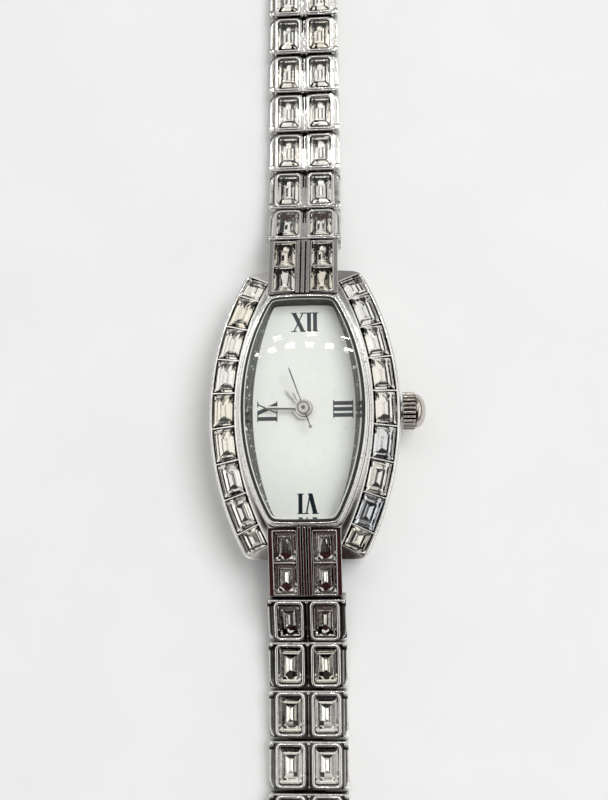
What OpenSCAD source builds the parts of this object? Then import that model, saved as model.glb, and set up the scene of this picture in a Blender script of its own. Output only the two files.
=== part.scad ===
// A ladies' dress wristwatch with a tonneau case and a stone-set link bracelet, laid open.
// Z is up from the flat case back, Y runs to 12 o'clock and X to the crown.

/* [Case] */
// Width of the case across the middle
case_w = 20; // [18:0.1:24]
// Length of the case between its flat ends
case_l = 30.5; // [28:0.1:35]
// Radius of the case's long side arcs
side_r = 32; // [27:0.5:40]
// Width of the case's flat ends, between their rounded corners
end_flat = 11; // [9:0.1:11.4]
// Height of the case's top surface at the centre
case_top = 7.8; // [7.6:0.05:8.4]
// Radius of the top surface along the case
crown_long_r = 50; // [49:1:70]
// Radius of the top surface across the case
crown_cross_r = 24; // [22:0.5:24]
// Thickness of the case back's plate
back_t = 0.8; // [0.6:0.05:1]
// Width of the case wall round the movement
wall_w = 2.35; // [2.2:0.05:2.5]
// Height of the shelf that the bezel sits on
shelf_z = 5.9; // [5.8:0.05:6]

/* [Bezel and glass] */
// Width of the case's shoulder beside the bezel
shoulder_w = 3.25; // [3.15:0.05:3.35]
// Length of the case's shoulder at the bezel's flat ends
shoulder_l = 3.1; // [2.9:0.01:3.3]
// Radius of the bezel's side arcs
bezel_r = 24.5; // [23.5:0.5:29]
// Width of the bezel's flat ends, between their rounded corners
bezel_flat = 6.2; // [5:0.1:6.8]
// Rise of the bezel above the case's top surface
bezel_rise = 1.2; // [0.9:0.05:1.6]
// Width of the bezel's lower step
bezel_step = 0.15; // [0.1:0.01:0.25]
// Wall of the bezel ring
bezel_wall = 0.44; // [0.38:0.01:0.55]
// Thickness of the gasket round the glass
gasket_t = 0.15; // [0.08:0.01:0.2]
// Height of the glass dome at the centre
glass_top = 9.4; // [9.2:0.05:10]
// Thickness of the glass
glass_t = 1.3; // [0.8:0.05:1.5]
// Radius of the glass dome along the case
glass_long_r = 46; // [45:1:60]
// Radius of the glass dome across the case
glass_cross_r = 22; // [20:0.5:22]

/* [Dial and hands] */
// Height of the dial's face
dial_z = 5.5; // [5.4:0.05:5.6]
// Thickness of the dial
dial_t = 0.4; // [0.3:0.05:0.5]
// Distance from the bezel's side to the visible dial
dial_side = 1.4; // [1.3:0.05:1.7]
// Distance from the bezel's flat end to the visible dial
dial_end = 0.98; // [0.78:0.01:1.1]
// Radius of the visible dial's side arcs
dial_r = 33; // [28:0.5:40]
// Width of the visible dial's flat ends
dial_flat = 6.2; // [5:0.1:6.4]
// Length of the hour hand from the centre
hour_len = 2.68; // [2:0.02:3.5]
// Length of the minute hand from the centre
minute_len = 3.92; // [3:0.02:4.8]
// Length of the second hand from the centre
second_len = 4.5; // [3:0.1:4.8]
// Angle of the hour hand from 12 o'clock
hour_angle = -39; // [-180:1:180]
// Angle of the minute hand from 12 o'clock
minute_angle = -89; // [-180:1:180]
// Angle of the second hand from 12 o'clock
second_angle = -19.5; // [-180:0.5:180]

/* [Movement] */
// Distance from the case's side to the movement
move_side = 3.8; // [3.7:0.05:4.2]
// Length of the movement
move_l = 14.8; // [13.3:0.1:15.3]
// Thickness of the movement's main plate
plate_t = 1.9; // [1.8:0.05:2]
// Thickness of the train bridge
bridge_t = 1.4; // [1.3:0.05:1.5]
// Diameter of the coin cell
cell_d = 6.8; // [5.8:0.1:6.8]
// Thickness of the coin cell
cell_t = 1.25; // [1:0.05:1.3]
// Length of the coil
coil_l = 5.6; // [4:0.1:6]

/* [Crown] */
// Diameter of the crown
crown_d = 4.1; // [3.6:0.1:4.4]
// Length of the crown's fluted band
crown_len = 1.3; // [1.2:0.05:1.8]
// Height of the crown's dome
crown_dome = 1.05; // [0.6:0.05:1.2]
// Number of flutes round the crown
flutes = 26; // [16:1:32]
// Height of the stem's axis
stem_z = 3.9; // [3.8:0.05:4]
// Radius of the stem
stem_r = 0.4; // [0.3:0.01:0.42]
// Travel of the crown when it is pulled to set the hands
crown_travel = 0.9; // [0.5:0.1:1]

/* [Bracelet] */
// Width of a link
link_w = 8; // [7.4:0.1:8.6]
// Distance between two link hinges
pitch = 4.94; // [4.8:0.02:5.8]
// Height of a link's rims above its hinge axis
link_up = 1.4; // [1.35:0.05:1.6]
// Depth of a link below its hinge axis
link_down = 0.8; // [0.8:0.05:1]
// Height of a link's side bands above its hinge axis
band_up = 0.75; // [0.7:0.05:0.9]
// Distance from a hinge axis to the end of the link that holds the pin
end_reach = 0.9; // [0.85:0.05:1.1]
// Gap between two links
link_gap = 0.2; // [0.18:0.01:0.3]
// Radius of a hinge pin
pin_r = 0.35; // [0.3:0.01:0.38]
// Width of a link's hinge tongue
tongue_w = 3; // [2.4:0.1:3.4]
// Number of links on each side of the case
links = 10; // [8:1:10]
// Slope of the lugs
lug_slope = 20; // [15:1:24]
// Slope of the first link when the watch lies open
slope_1 = 24; // [18:1:26]
// Slope of the second link when the watch lies open
slope_2 = 8; // [6:1:12]
// Slope of the third link when the watch lies open
slope_3 = 2; // [1:1:4]
// Distance from the case's flat end to the lug's hinge
lug_reach = 2.47; // [2.15:0.02:3.35]
// Width of a lug
lug_w = 7.4; // [7:0.1:7.6]

/* [Stones] */
// Width of a flank stone
flank_stone_w = 2.2; // [2:0.05:2.3]
// Length of a flank stone
flank_stone_l = 3.3; // [2.8:0.05:3.4]
// Length of the last stone at each end of a flank
end_stone_l = 2.1; // [1.9:0.05:2.3]
// Distance between the middles of two flank stones
flank_pitch = 3.62; // [3.55:0.01:3.7]
// Width of a lug stone
lug_stone_w = 2.25; // [2:0.05:2.3]
// Length of a lug stone
lug_stone_l = 3.2; // [2.6:0.05:3.3]
// Width of a link stone
link_stone_w = 2.4; // [2.1:0.05:2.45]
// Length of a link stone
link_stone_l = 3.5; // [3:0.05:3.6]
// Distance of a link stone's middle from the bracelet's middle
link_stone_x = 1.82; // [1.75:0.01:1.9]

/* [Clasp] */
// Length of the clasp base
clasp_l = 21.9; // [18:0.1:26]
// Distance from the clasp's hinge to its post
post_y = 19; // [15:0.1:19.5]
// Radius of the clasp's post
post_r = 0.5; // [0.4:0.05:0.6]

/* [Hidden] */
// Number of links set with stones, counted from the case
upper_set = 7;
lower_set = 5;

$fn = 64;

// Colours of the finishes
silver = [0.82, 0.82, 0.83];
steel = [0.66, 0.67, 0.68];
crystal = [0.88, 0.9, 0.92, 0.6];
black = [0.08, 0.08, 0.09];
brass = [0.78, 0.66, 0.35];

// Small clearances between pieces of one body
fit = 0.02;
// Running clearance round a turning shaft
run = 0.05;
// Reach of a cutting solid past the faces it cuts
past = 1;
// Depth of the solids of revolution that shape the domes
dome_depth = 14;
// Half-width of the space that the domes cover
dome_reach = 11;

// Case outlines and levels
corner_r = norm([end_flat, case_l]) / 2;
step_z = back_t + 0.8;
step_in = 0.35;
groove_in = 1.45;
groove_w = 0.45;
groove_h = 0.4;
lip_t = 0.45;
lip_top = back_t + 0.7;
back_in = 0.6;
cavity_top = stem_z + stem_r + 0.1;

// Bezel, and what stands inside it
bezel_w = case_w - 2 * shoulder_w;
bezel_l = case_l - 2 * shoulder_l;
bezel_corner_r = norm([bezel_flat, bezel_l]) / 2;
shelf_in = 0.3;
glass_in = bezel_step + bezel_wall + gasket_t + 2 * fit;
ring_out = bezel_step + bezel_wall + fit;
ring_z = glass_top - glass_t;
ring_slope = 0.5;
ring_lip = 0.1;
dial_open_w = bezel_w - 2 * dial_side;
dial_open_l = bezel_l - 2 * dial_end;
dial_corner_r = norm([dial_flat, dial_open_l]) / 2;

// Stone channel in the case's shoulders
channel_in = 0.44;
channel_depth = 0.6;
channel_tilt = 0.14;
span_past = 0.25;
stone_sink = 0.16;
stone_mid_r = side_r - channel_in - flank_stone_w / 2;
stone_step = 2 * asin(flank_pitch / 2 / stone_mid_r);
stones_per_side = 9;
last_gap = 0.22;
last_pitch = (flank_stone_l + end_stone_l) / 2 + last_gap;
stone_base = 0.36;
stone_crown = 0.32;
stone_facet = 0.45;
link_stone_base = 0.25;

// Lug slab, drawn in its own frame: the hinge is the origin and Y runs down the slope
lug_z = link_down + pitch * (sin(slope_1) + sin(slope_2) + sin(slope_3));
lug_hinge_y = case_l / 2 + lug_reach;
lug_in = (lug_hinge_y - bezel_l / 2) / cos(lug_slope);
lug_stone_x = 2;
lug_first = 0.38;
lug_stone_gap = 0.15;
ridge_w = 0.34;
ridge_up = 0.3;
ridge_pitch = 0.52;

// Link hinge
face_in = 0.15;
tongue_r = 0.74;
slot_roof = 0.8;
slot_in = 0.85;
arm_up = 0.45;
arm_down = 0.5;
side_gap = 0.05;
pin_short = 0.1;
rim_wall = 0.4;
rim_corner = 0.5;
pocket_z = slot_roof + 0.15;
knob_l = 0.7;
knob_w = 0.5;
knob_up = 1.15;
block_l = 1.6;

// Clasp
lid_y = 2.3;
lid_z = 0.6;
lid_r = 0.55;
lid_pin_r = 0.28;
lid_t = 0.45;
lid_up = 1.2;
lid_wall = 0.45;
barrel_w = 3;
ear_w = 1;
floor_t = 0.5;
catch_l = 6.4;
catch_hole_y = 5.3;

// Movement sizes and levels
move_w = case_w - 2 * move_side;
holder_z = lip_top + 0.05;
plate_top = dial_z - dial_t;
plate_z = plate_top - plate_t;
bridge_z = plate_z - bridge_t;
board_t = 0.2;
board_in = 0.2;
cell_in = 0.1;
cell_y = cell_d / 2 + cell_in - move_l / 2;
cell_top = bridge_z + bridge_t / 2;
coil_side = 1.7;
coil_end = 1.6;
coil_x = coil_side - move_w / 2;
coil_y = move_l / 2 - coil_end - coil_l / 2;
coil_r = 0.45;
coil_gap = 0.35;
motion_r = 2.2;
motion_h = 0.6;
cannon_r = 1.1;
cannon_h = 0.3;
train_r = 2.8;
train_h = 0.6;
hour_tube_r = 0.8;
minute_tube_r = 0.5;
second_tube_r = 0.2;
hour_z = dial_z + 0.35;
minute_z = hour_z + 0.4;
second_z = minute_z + 0.42;
hand_t = 0.15;
lever_x = 4.6;
lever_t = 0.3;
lever_w = 2.4;
lever_h = plate_t - 0.35;
lever_neck_r = 0.24;
stem_in = 2.9;
tube_r = 1.05;
crown_x = case_w / 2 + 0.38;
crown_recess = 0.85;

// Height of the case's top surface over a point
function top_z(x, y) = case_top - crown_long_r
  + sqrt(pow(crown_long_r - crown_cross_r + sqrt(crown_cross_r * crown_cross_r - x * x), 2) - y * y);

// Points of a rectangle with rounded corners
function round_rect(w, l, r, steps = 3) = [for (c = [0:3], s = [0:steps])
  let (a = c * 90 + s * 90 / steps, sx = (c == 0 || c == 3) ? 1 : -1, sy = c < 2 ? 1 : -1)
  [sx * (w / 2 - r) + r * cos(a), sy * (l / 2 - r) + r * sin(a)]];

// Rest slope of link i, and the place of the hinge at its inner end
function slope(i) = i == 1 ? slope_1 : i == 2 ? slope_2 : i == 3 ? slope_3 : 0;
function hinge(i) = i == 1 ? [lug_hinge_y, lug_z]
  : hinge(i - 1) + pitch * [cos(slope(i - 1)), -sin(slope(i - 1))];

// Barrel-shaped outline with flat ends, drawn in by d on every side
module tonneau(w, l, r, corner, d = 0) {
  intersection() {
    translate([w / 2 - r, 0]) circle(r = r - d);
    translate([r - w / 2, 0]) circle(r = r - d);
    circle(r = corner - d);
    square([w, l - 2 * d], center = true);
  }
}

module case_outline(d = 0) tonneau(case_w, case_l, side_r, corner_r, d);

module bezel_outline(d = 0) tonneau(bezel_w, bezel_l, bezel_r, bezel_corner_r, d);

module dial_outline(d = 0) tonneau(dial_open_w, dial_open_l, dial_r, dial_corner_r, d);

// Solid of revolution under a doubly curved top surface
module under(top, long_r, cross_r) {
  translate([0, 0, top - long_r]) rotate([0, 90, 0]) rotate_extrude($fn = 180)
    intersection() {
      translate([long_r - cross_r, 0]) circle(r = cross_r, $fn = 180);
      translate([long_r - dome_depth, -dome_reach]) square([dome_depth + past, 2 * dome_reach]);
    }
}

module under_case(d = 0) under(case_top + d, crown_long_r + d, crown_cross_r + d);

module under_glass(d = 0) under(glass_top + d, glass_long_r + d, glass_cross_r + d);

// Slab between two heights
module slab(low, high) {
  translate([0, 0, low]) linear_extrude(high - low) children();
}

// Side profile, Y and Z, pushed out along X
module across(width) {
  rotate([90, 0, 90]) linear_extrude(width, center = true) children();
}

// Cylinder along X
module rod(r, length) {
  rotate([0, 90, 0]) cylinder(r = r, h = length, center = true);
}

// Step-cut stone with its girdle at z = 0
module stone(w, l, base = link_stone_base) {
  intersection() {
    across(w) polygon([[-l / 2, -base], [l / 2, -base], [l / 2, 0],
      [l / 2 - stone_facet, stone_crown], [stone_facet - l / 2, stone_crown], [-l / 2, 0]]);
    rotate([0, 0, 90]) across(l) polygon([[-w / 2, -base], [w / 2, -base], [w / 2, 0],
      [w / 2 - stone_facet, stone_crown], [stone_facet - w / 2, stone_crown], [-w / 2, 0]]);
  }
}

// Puts something from the lug's own frame at the 12 o'clock end, and at the 6 o'clock end
module at_lug() {
  for (side = [0, 1]) mirror([0, side, 0])
    translate([0, lug_hinge_y, lug_z]) rotate([-lug_slope, 0, 0]) children();
}

// Puts link i of one side in place
module at_link(side, i) {
  mirror([0, side == "lower" ? 1 : 0, 0])
    translate([0, hinge(i)[0], hinge(i)[1]]) rotate([-slope(i), 0, 0]) children();
}

// Slab of the lug, which also cuts its seat in the case
module lug_slab(width) {
  across(width) polygon([[-lug_in - link_up * tan(lug_slope), link_up],
    [end_reach - face_in, link_up], [end_reach, 0], [end_reach - face_in, -link_down],
    [link_down * tan(lug_slope) - lug_in, -link_down]]);
}

// Slot that takes the next link's tongue, and the holes of its pin
module hinge_slot(width) {
  translate([-tongue_w / 2 - side_gap, -slot_in, -link_down - past])
    cube([tongue_w + 2 * side_gap, slot_in + end_reach + past, link_down + past + slot_roof]);
  rod(pin_r + fit, width + past);
}

module hinge_pin(width) rod(pin_r, width - 2 * pin_short);

// Tongue at a link's inner end, which turns on the pin of the piece before it
module tongue(reach) {
  difference() {
    union() {
      rod(tongue_r, tongue_w);
      translate([-tongue_w / 2, 0, -arm_down]) cube([tongue_w, reach, arm_down + arm_up]);
    }
    rod(pin_r + run, tongue_w + past);
  }
}

// Places of the rims and stones on a link
link_start = end_reach + link_gap;
link_end = pitch + end_reach;
link_mid = (link_start + link_end) / 2;
rim_w = link_stone_w + 2 * rim_wall;
rim_l = link_end - link_start - 2 * face_in + 0.1;

// One link with the pin at its outer end; set links have pockets for two stones
module link(set) {
  difference() {
    union() {
      across(link_w) polygon([[link_start + face_in * band_up / link_up, band_up], [link_start, 0],
        [link_start + face_in, -link_down], [link_end - face_in, -link_down], [link_end, 0],
        [link_end - face_in * band_up / link_up, band_up]]);
      for (sx = [-1, 1]) translate([sx * link_stone_x, link_mid, 0])
        slab(0, link_up) polygon(round_rect(rim_w, rim_l, rim_corner));
      for (sx = [-1, 1]) translate([sx * (link_w - knob_w) / 2, link_start + face_in + knob_l / 2, 0])
        translate([-knob_w / 2, -knob_l / 2, 0]) cube([knob_w, knob_l, knob_up]);
      tongue(link_start + past);
    }
    if (set)
      for (sx = [-1, 1]) translate([sx * link_stone_x, link_mid, pocket_z])
        slab(0, link_up) square([link_stone_w + 2 * fit, link_stone_l + 2 * fit], center = true);
    translate([0, pitch, 0]) hinge_slot(link_w);
  }
  translate([0, pitch, 0]) hinge_pin(link_w);
}

module link_stones() {
  color(crystal) for (sx = [-1, 1])
    translate([sx * link_stone_x, link_mid, pocket_z + link_stone_base]) stone(link_stone_w, link_stone_l);
}

// Where the stones of one shoulder stand, and how long they are
function from_middle(i) = i - (stones_per_side - 1) / 2;
function is_last(i) = abs(from_middle(i)) == (stones_per_side - 1) / 2;
function stone_angle(i) = is_last(i)
  ? sign(from_middle(i)) * ((abs(from_middle(i)) - 1) * stone_step + 2 * asin(last_pitch / 2 / stone_mid_r))
  : from_middle(i) * stone_step;
function stone_length(i) = is_last(i) ? end_stone_l : flank_stone_l;

module shoulder_stones() {
  for (side = [0, 1], i = [0:stones_per_side - 1])
    let (a = stone_angle(i), x = case_w / 2 - side_r + stone_mid_r * cos(a), y = stone_mid_r * sin(a))
      mirror([side, 0, 0]) translate([x, y, top_z(x, y)]) rotate([-asin(y / crown_long_r), 0, 0])
        rotate([0, asin(x / crown_cross_r), 0]) rotate([0, 0, a]) translate([0, 0, -stone_sink])
          stone(flank_stone_w, stone_length(i), stone_base);
}

// Channel that the shoulder stones stand in
module channels() {
  span = stone_angle(stones_per_side - 1) + 2 * asin(end_stone_l / 4 / stone_mid_r) + span_past;
  difference() {
    for (side = [0, 1]) mirror([side, 0, 0]) slab(shelf_z - 2, case_top + past)
      difference() {
        intersection() {
          translate([case_w / 2 - side_r, 0]) circle(r = side_r - channel_in + 2 * fit);
          translate([case_w / 2 - side_r, 0])
            polygon([[0, 0], 2 * side_r * [cos(span), -sin(span)], 2 * side_r * [cos(span), sin(span)]]);
        }
        translate([case_w / 2 - side_r, 0]) circle(r = side_r - channel_in - flank_stone_w - channel_tilt);
      }
    under_case(-channel_depth);
  }
}

module case() {
  color(silver) difference() {
    intersection() {
      union() {
        slab(step_z, case_top + past) case_outline();
        slab(back_t, step_z + past) case_outline(step_in);
      }
      under_case();
    }
    slab(0, cavity_top) case_outline(wall_w);
    slab(0, plate_top) square([move_w + 4 * fit, move_l + 4 * fit], center = true);
    slab(0, shelf_z + past) bezel_outline(shelf_in);
    slab(shelf_z, case_top + past) bezel_outline();
    slab(0, back_t + groove_h) difference() {
      case_outline(groove_in);
      case_outline(groove_in + groove_w);
    }
    channels();
    at_lug() lug_slab(lug_w);
    translate([case_w / 2, 0, stem_z]) rod(tube_r, 2 * wall_w + 0.4);
  }
}

module case_back() {
  color(silver) {
    difference() {
      union() {
        slab(0, back_t) case_outline(back_in);
        slab(back_t - 0.1, lip_top) case_outline(wall_w + fit);
      }
      slab(back_t, lip_top + past) case_outline(wall_w + fit + lip_t);
      slab(back_t, lip_top + past) square([move_w + 4 * fit, move_l + 4 * fit], center = true);
    }
  }
}

module back_gasket() {
  color(black) slab(back_t, back_t + groove_h - fit) difference() {
    case_outline(groove_in + fit);
    case_outline(groove_in + groove_w - fit);
  }
}

module bezel() {
  color(silver) difference() {
    union() {
      intersection() {
        slab(shelf_z, case_top + 3) bezel_outline(bezel_step);
        under_case(bezel_rise);
      }
      intersection() {
        slab(shelf_z, case_top + 3) bezel_outline(fit);
        under_case(bezel_rise / 2);
      }
    }
    slab(shelf_z - past, case_top + 4) bezel_outline(bezel_step + bezel_wall);
  }
}

module glass() {
  color(crystal) difference() {
    intersection() {
      slab(shelf_z, glass_top + past) bezel_outline(glass_in);
      under_glass();
    }
    under_glass(-glass_t);
  }
}

module glass_gasket() {
  color(black) difference() {
    intersection() {
      slab(shelf_z, glass_top + past) difference() {
        bezel_outline(bezel_step + bezel_wall + fit);
        bezel_outline(bezel_step + bezel_wall + fit + gasket_t);
      }
      under_glass(-0.25);
    }
    under_glass(-glass_t);
  }
}

// The ring's sloping wall is cut in steps that open towards the glass
module dial_ring() {
  steps = 5;
  rise = (shelf_z + past - dial_z) / steps;
  color(steel) intersection() {
    difference() {
      slab(dial_z, ring_z) bezel_outline(ring_out);
      for (k = [0:steps - 1])
        slab(dial_z + k * rise - (k == 0 ? past : 0), ring_z + past) intersection() {
          dial_outline(-ring_slope * k / steps);
          bezel_outline(ring_out + ring_lip);
        }
    }
    under_glass(-glass_t - fit);
  }
}

module dial() {
  color([0.94, 0.96, 0.94]) slab(plate_top, dial_z) difference() {
    bezel_outline(shelf_in + fit);
    circle(r = hour_tube_r + 0.1);
  }
}

module movement_holder() {
  color([0.9, 0.9, 0.88]) difference() {
    union() {
      slab(holder_z, cavity_top) case_outline(wall_w + fit);
      slab(cavity_top, plate_top) bezel_outline(shelf_in + fit);
    }
    slab(0, plate_top + past) square([move_w + 2 * fit, move_l + 2 * fit], center = true);
    translate([case_w / 2, 0, stem_z]) rod(stem_r + 0.2, case_w);
  }
}

module movement_plate() {
  color(brass) difference() {
    slab(plate_z, plate_top) square([move_w, move_l], center = true);
    slab(plate_top - motion_h, plate_top + past) circle(r = motion_r + 0.15);
    slab(plate_top - motion_h - cannon_h, plate_top) circle(r = cannon_r + 0.15);
    slab(plate_z - past, plate_top) circle(r = second_tube_r + run);
    translate([stem_in - 0.2 + case_w / 2, 0, stem_z]) rod(stem_r + run, case_w);
    translate([lever_x - 0.35, -lever_w / 2 - 0.2, plate_z - past])
      cube([lever_t + crown_travel + 0.55, lever_w + 0.4, lever_h + 0.1 + past]);
  }
}

module train_bridge() {
  color(steel) difference() {
    slab(bridge_z, plate_z) square([move_w, move_l], center = true);
    slab(plate_z - train_h, plate_z + past) circle(r = train_r + 0.2);
    translate([0, cell_y]) slab(bridge_z - past, cell_top + 0.06) circle(r = cell_d / 2 + 0.06);
    translate([coil_x, coil_y]) slab(bridge_z - past, bridge_z + 2 * coil_r + 3 * fit)
      square([2 * (coil_r + coil_gap), coil_l + 2 * coil_gap], center = true);
  }
}

module circuit_board() {
  color([0.1, 0.3, 0.16]) slab(bridge_z - board_t, bridge_z) difference() {
    square([move_w - 2 * board_in, move_l - 2 * board_in], center = true);
    translate([0, cell_y]) circle(r = cell_d / 2 + 0.06);
  }
  color([0.72, 0.4, 0.2]) translate([coil_x, coil_y, bridge_z + fit + coil_r])
    rotate([90, 0, 0]) cylinder(r = coil_r, h = coil_l, center = true);
}

module battery() {
  color(steel) translate([0, cell_y]) slab(cell_top - cell_t, cell_top) circle(r = cell_d / 2);
}

module crown_tube() {
  color(steel) translate([case_w / 2 - wall_w + 0.1, 0, stem_z]) rotate([0, 90, 0]) difference() {
    cylinder(r = tube_r - 0.01, h = wall_w + 0.9);
    translate([0, 0, -past]) cylinder(r = stem_r + run, h = wall_w + 3);
  }
}

module lugs() {
  color(silver) at_lug() {
    difference() {
      union() {
        lug_slab(lug_w - 2 * fit);
        for (k = [-1:1]) translate([k * ridge_pitch, 0, 0]) across(ridge_w)
          polygon([[-lug_in, 0], [-lug_in - (link_up + ridge_up) * tan(lug_slope), link_up + ridge_up],
            [end_reach - 2 * face_in, link_up + ridge_up], [end_reach - 2 * face_in, 0]]);
      }
      for (sx = [-1, 1], row = [0, 1])
        translate([sx * lug_stone_x, lug_stone_y(row), pocket_z]) slab(0, 2 * link_up)
          square([lug_stone_w + 2 * fit, lug_stone_l + 2 * fit], center = true);
      hinge_slot(lug_w);
    }
    hinge_pin(lug_w);
  }
}

function lug_stone_y(row) = end_reach - lug_first - lug_stone_l / 2 - row * (lug_stone_l + lug_stone_gap);

module case_stones() {
  color(crystal) {
    difference() {
      shoulder_stones();
      translate([-lug_w / 2 - 0.06, -case_l / 2, 0]) cube([lug_w + 0.12, case_l, 2 * case_top]);
    }
    at_lug() for (sx = [-1, 1], row = [0, 1])
      translate([sx * lug_stone_x, lug_stone_y(row), pocket_z + link_stone_base])
        stone(lug_stone_w, lug_stone_l);
  }
}

module setting_lever() {
  color(steel) difference() {
    translate([lever_x, -lever_w / 2, plate_z + 0.05]) cube([lever_t, lever_w, lever_h - 0.05]);
    translate([lever_x, 0, stem_z]) rod(lever_neck_r + run, 4 * lever_t);
  }
}

module stem() {
  neck = lever_t + 0.1;
  color(steel) translate([0, 0, stem_z]) difference() {
    translate([stem_in, 0, 0]) rotate([0, 90, 0])
      cylinder(r = stem_r, h = crown_x + crown_recess + 0.6 - stem_in);
    translate([lever_x - 0.05 + neck / 2, 0, 0]) difference() {
      rod(stem_r + past, neck);
      rod(lever_neck_r, neck + past);
    }
  }
}

module crown() {
  r = crown_d / 2;
  dome_r = (pow(r - 0.2, 2) + crown_dome * crown_dome) / (2 * crown_dome);
  color(silver) translate([crown_x, 0, stem_z]) rotate([0, 90, 0]) difference() {
    union() {
      linear_extrude(crown_len) polygon([for (k = [0:4 * flutes - 1])
        (r - (k % 4 < 2 ? 0 : 0.14)) * [cos(k * 90 / flutes), sin(k * 90 / flutes)]]);
      intersection() {
        translate([0, 0, crown_len + crown_dome - dome_r]) sphere(r = dome_r);
        translate([0, 0, crown_len - 0.1]) cylinder(r = r - 0.25, h = crown_dome + past);
      }
    }
    translate([0, 0, -past]) cylinder(r = tube_r + 0.15, h = crown_recess + past);
    translate([0, 0, -past]) cylinder(r = stem_r, h = crown_recess + 0.6 + past);
  }
}

// Flat hand that points to 12 o'clock, with its boss on a tube
module hand(length, width, tail, boss_r, hole_r, at_z) {
  slab(at_z, at_z + hand_t) difference() {
    union() {
      circle(r = boss_r);
      polygon([[-width / 2, -tail], [width / 2, -tail], [width / 2, length * 0.9], [0, length],
        [-width / 2, length * 0.9]]);
    }
    circle(r = hole_r);
  }
}

module hour_hand() {
  color(silver) rotate([0, 0, -hour_angle]) hand(hour_len, 0.42, 0, 1.05, hour_tube_r, hour_z);
}

module hour_wheel() {
  color(brass) difference() {
    union() {
      slab(plate_top - motion_h + 0.15, plate_top - motion_h + 0.35) circle(r = motion_r);
      slab(plate_top - motion_h + 0.15, hour_z + hand_t) circle(r = hour_tube_r);
    }
    slab(0, glass_top) circle(r = minute_tube_r + run);
  }
}

module minute_hand() {
  color(silver) rotate([0, 0, -minute_angle])
    hand(minute_len, 0.34, 0, 0.8, minute_tube_r, minute_z);
}

module cannon_pinion() {
  floor_z = plate_top - motion_h - cannon_h + 0.05;
  color(brass) difference() {
    union() {
      slab(floor_z, floor_z + 0.3) circle(r = cannon_r);
      slab(floor_z, minute_z + hand_t) circle(r = minute_tube_r);
    }
    slab(0, glass_top) circle(r = second_tube_r + run);
  }
}

module second_hand() {
  color(silver) rotate([0, 0, -second_angle]) {
    hand(second_len, 0.14, 2, 0.68, second_tube_r, second_z);
    translate([0, -2.1, 0]) slab(second_z, second_z + hand_t) circle(r = 0.17);
  }
}

module second_wheel() {
  color(brass) {
    slab(plate_z - 0.35, plate_z - 0.15) circle(r = train_r);
    slab(plate_z - 0.2, second_z + hand_t) circle(r = second_tube_r);
  }
}

module clasp_base() {
  far = link_start + clasp_l;
  color(silver) {
    difference() {
      union() {
        tongue(link_start + past);
        across(link_w) polygon([[link_start, 0], [link_start + face_in, -link_down],
          [far, -link_down], [far, floor_t - link_down], [lid_y + 1, floor_t - link_down],
          [lid_y + 0.8, 0]]);
        for (sx = [-1, 1]) translate([sx * (barrel_w / 2 + side_gap + ear_w / 2), lid_y, 0]) {
          translate([0, 0, lid_z]) rod(lid_r - 0.05, ear_w);
          translate([-ear_w / 2, -lid_r + 0.05, -0.1]) cube([ear_w, 2 * lid_r - 0.1, lid_z + 0.1]);
        }
        translate([0, post_y, floor_t - link_down - 0.1]) cylinder(r = post_r, h = 0.95);
      }
      translate([0, lid_y, lid_z]) rod(lid_pin_r + fit, link_w);
      translate([-barrel_w / 2 - side_gap, lid_y - lid_r - 0.1, -0.06])
        cube([barrel_w + 2 * side_gap, 3, 3]);
    }
    translate([0, lid_y, lid_z]) rod(lid_pin_r, barrel_w + 2 * ear_w + 2 * side_gap);
  }
}

module clasp_lid() {
  far = link_start + clasp_l + lid_wall + 0.1;
  color(silver) difference() {
    union() {
      translate([0, lid_y, lid_z]) rod(lid_r, barrel_w);
      translate([-barrel_w / 2, lid_y, lid_up - lid_t]) cube([barrel_w, 2, lid_t]);
      translate([-link_w / 2, lid_y + 0.8, lid_up - lid_t])
        cube([link_w, far - lid_y - 0.8, lid_t]);
      for (sx = [-1, 1]) translate([sx * (link_w - lid_wall) / 2 - lid_wall / 2, lid_y + 1.1, 0.1])
        cube([lid_wall, far - lid_y - 1.1, lid_up - 0.2]);
      translate([-link_w / 2, far - lid_wall, 0.1]) cube([link_w, lid_wall, lid_up - 0.2]);
    }
    translate([0, lid_y, lid_z]) rod(lid_pin_r + run, barrel_w + past);
  }
}

module catch_link() {
  color(silver) difference() {
    union() {
      tongue(link_start + past);
      across(link_w) polygon([[link_start + 0.06, 0.6], [link_start, 0],
        [link_start + face_in, -link_down], [link_start + block_l, -link_down],
        [link_start + block_l, 0.6]]);
      slab(-0.35, 0.15) translate([0, link_start + catch_l / 2 + 0.4])
        polygon(round_rect(5.4, catch_l - 0.8, 0.8));
    }
    translate([0, catch_hole_y, -past]) cylinder(r = post_r + 0.15, h = 3);
  }
}

case();
case_back();
back_gasket();
bezel();
glass();
glass_gasket();
dial_ring();
dial();
movement_holder();
movement_plate();
train_bridge();
circuit_board();
battery();
crown_tube();
lugs();
case_stones();
setting_lever();
stem();
crown();
hour_hand();
hour_wheel();
minute_hand();
cannon_pinion();
second_hand();
second_wheel();
at_link("upper", links + 1) catch_link();
at_link("lower", links + 1) clasp_base();
at_link("lower", links + 1) clasp_lid();
for (i = [1:links]) {
  at_link("upper", i) color(silver) link(i <= upper_set);
  at_link("lower", i) color(silver) link(i <= lower_set);
}
for (i = [1:upper_set])
  at_link("upper", i) link_stones();
for (i = [1:lower_set])
  at_link("lower", i) link_stones();
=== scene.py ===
# %% [markdown]
# # A dress wristwatch with a stone-set bracelet
# This lesson dresses a small wristwatch. Its construction is already fixed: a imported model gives
# every piece at its real size, and each moving piece rides on its own body. What is left is how it
# looks: rounded edges, cut stones that catch the light, a domed glass and a printed dial.

# %% Load the frame
import math

import bmesh
import bpy
from mathutils import Matrix, Vector


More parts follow.
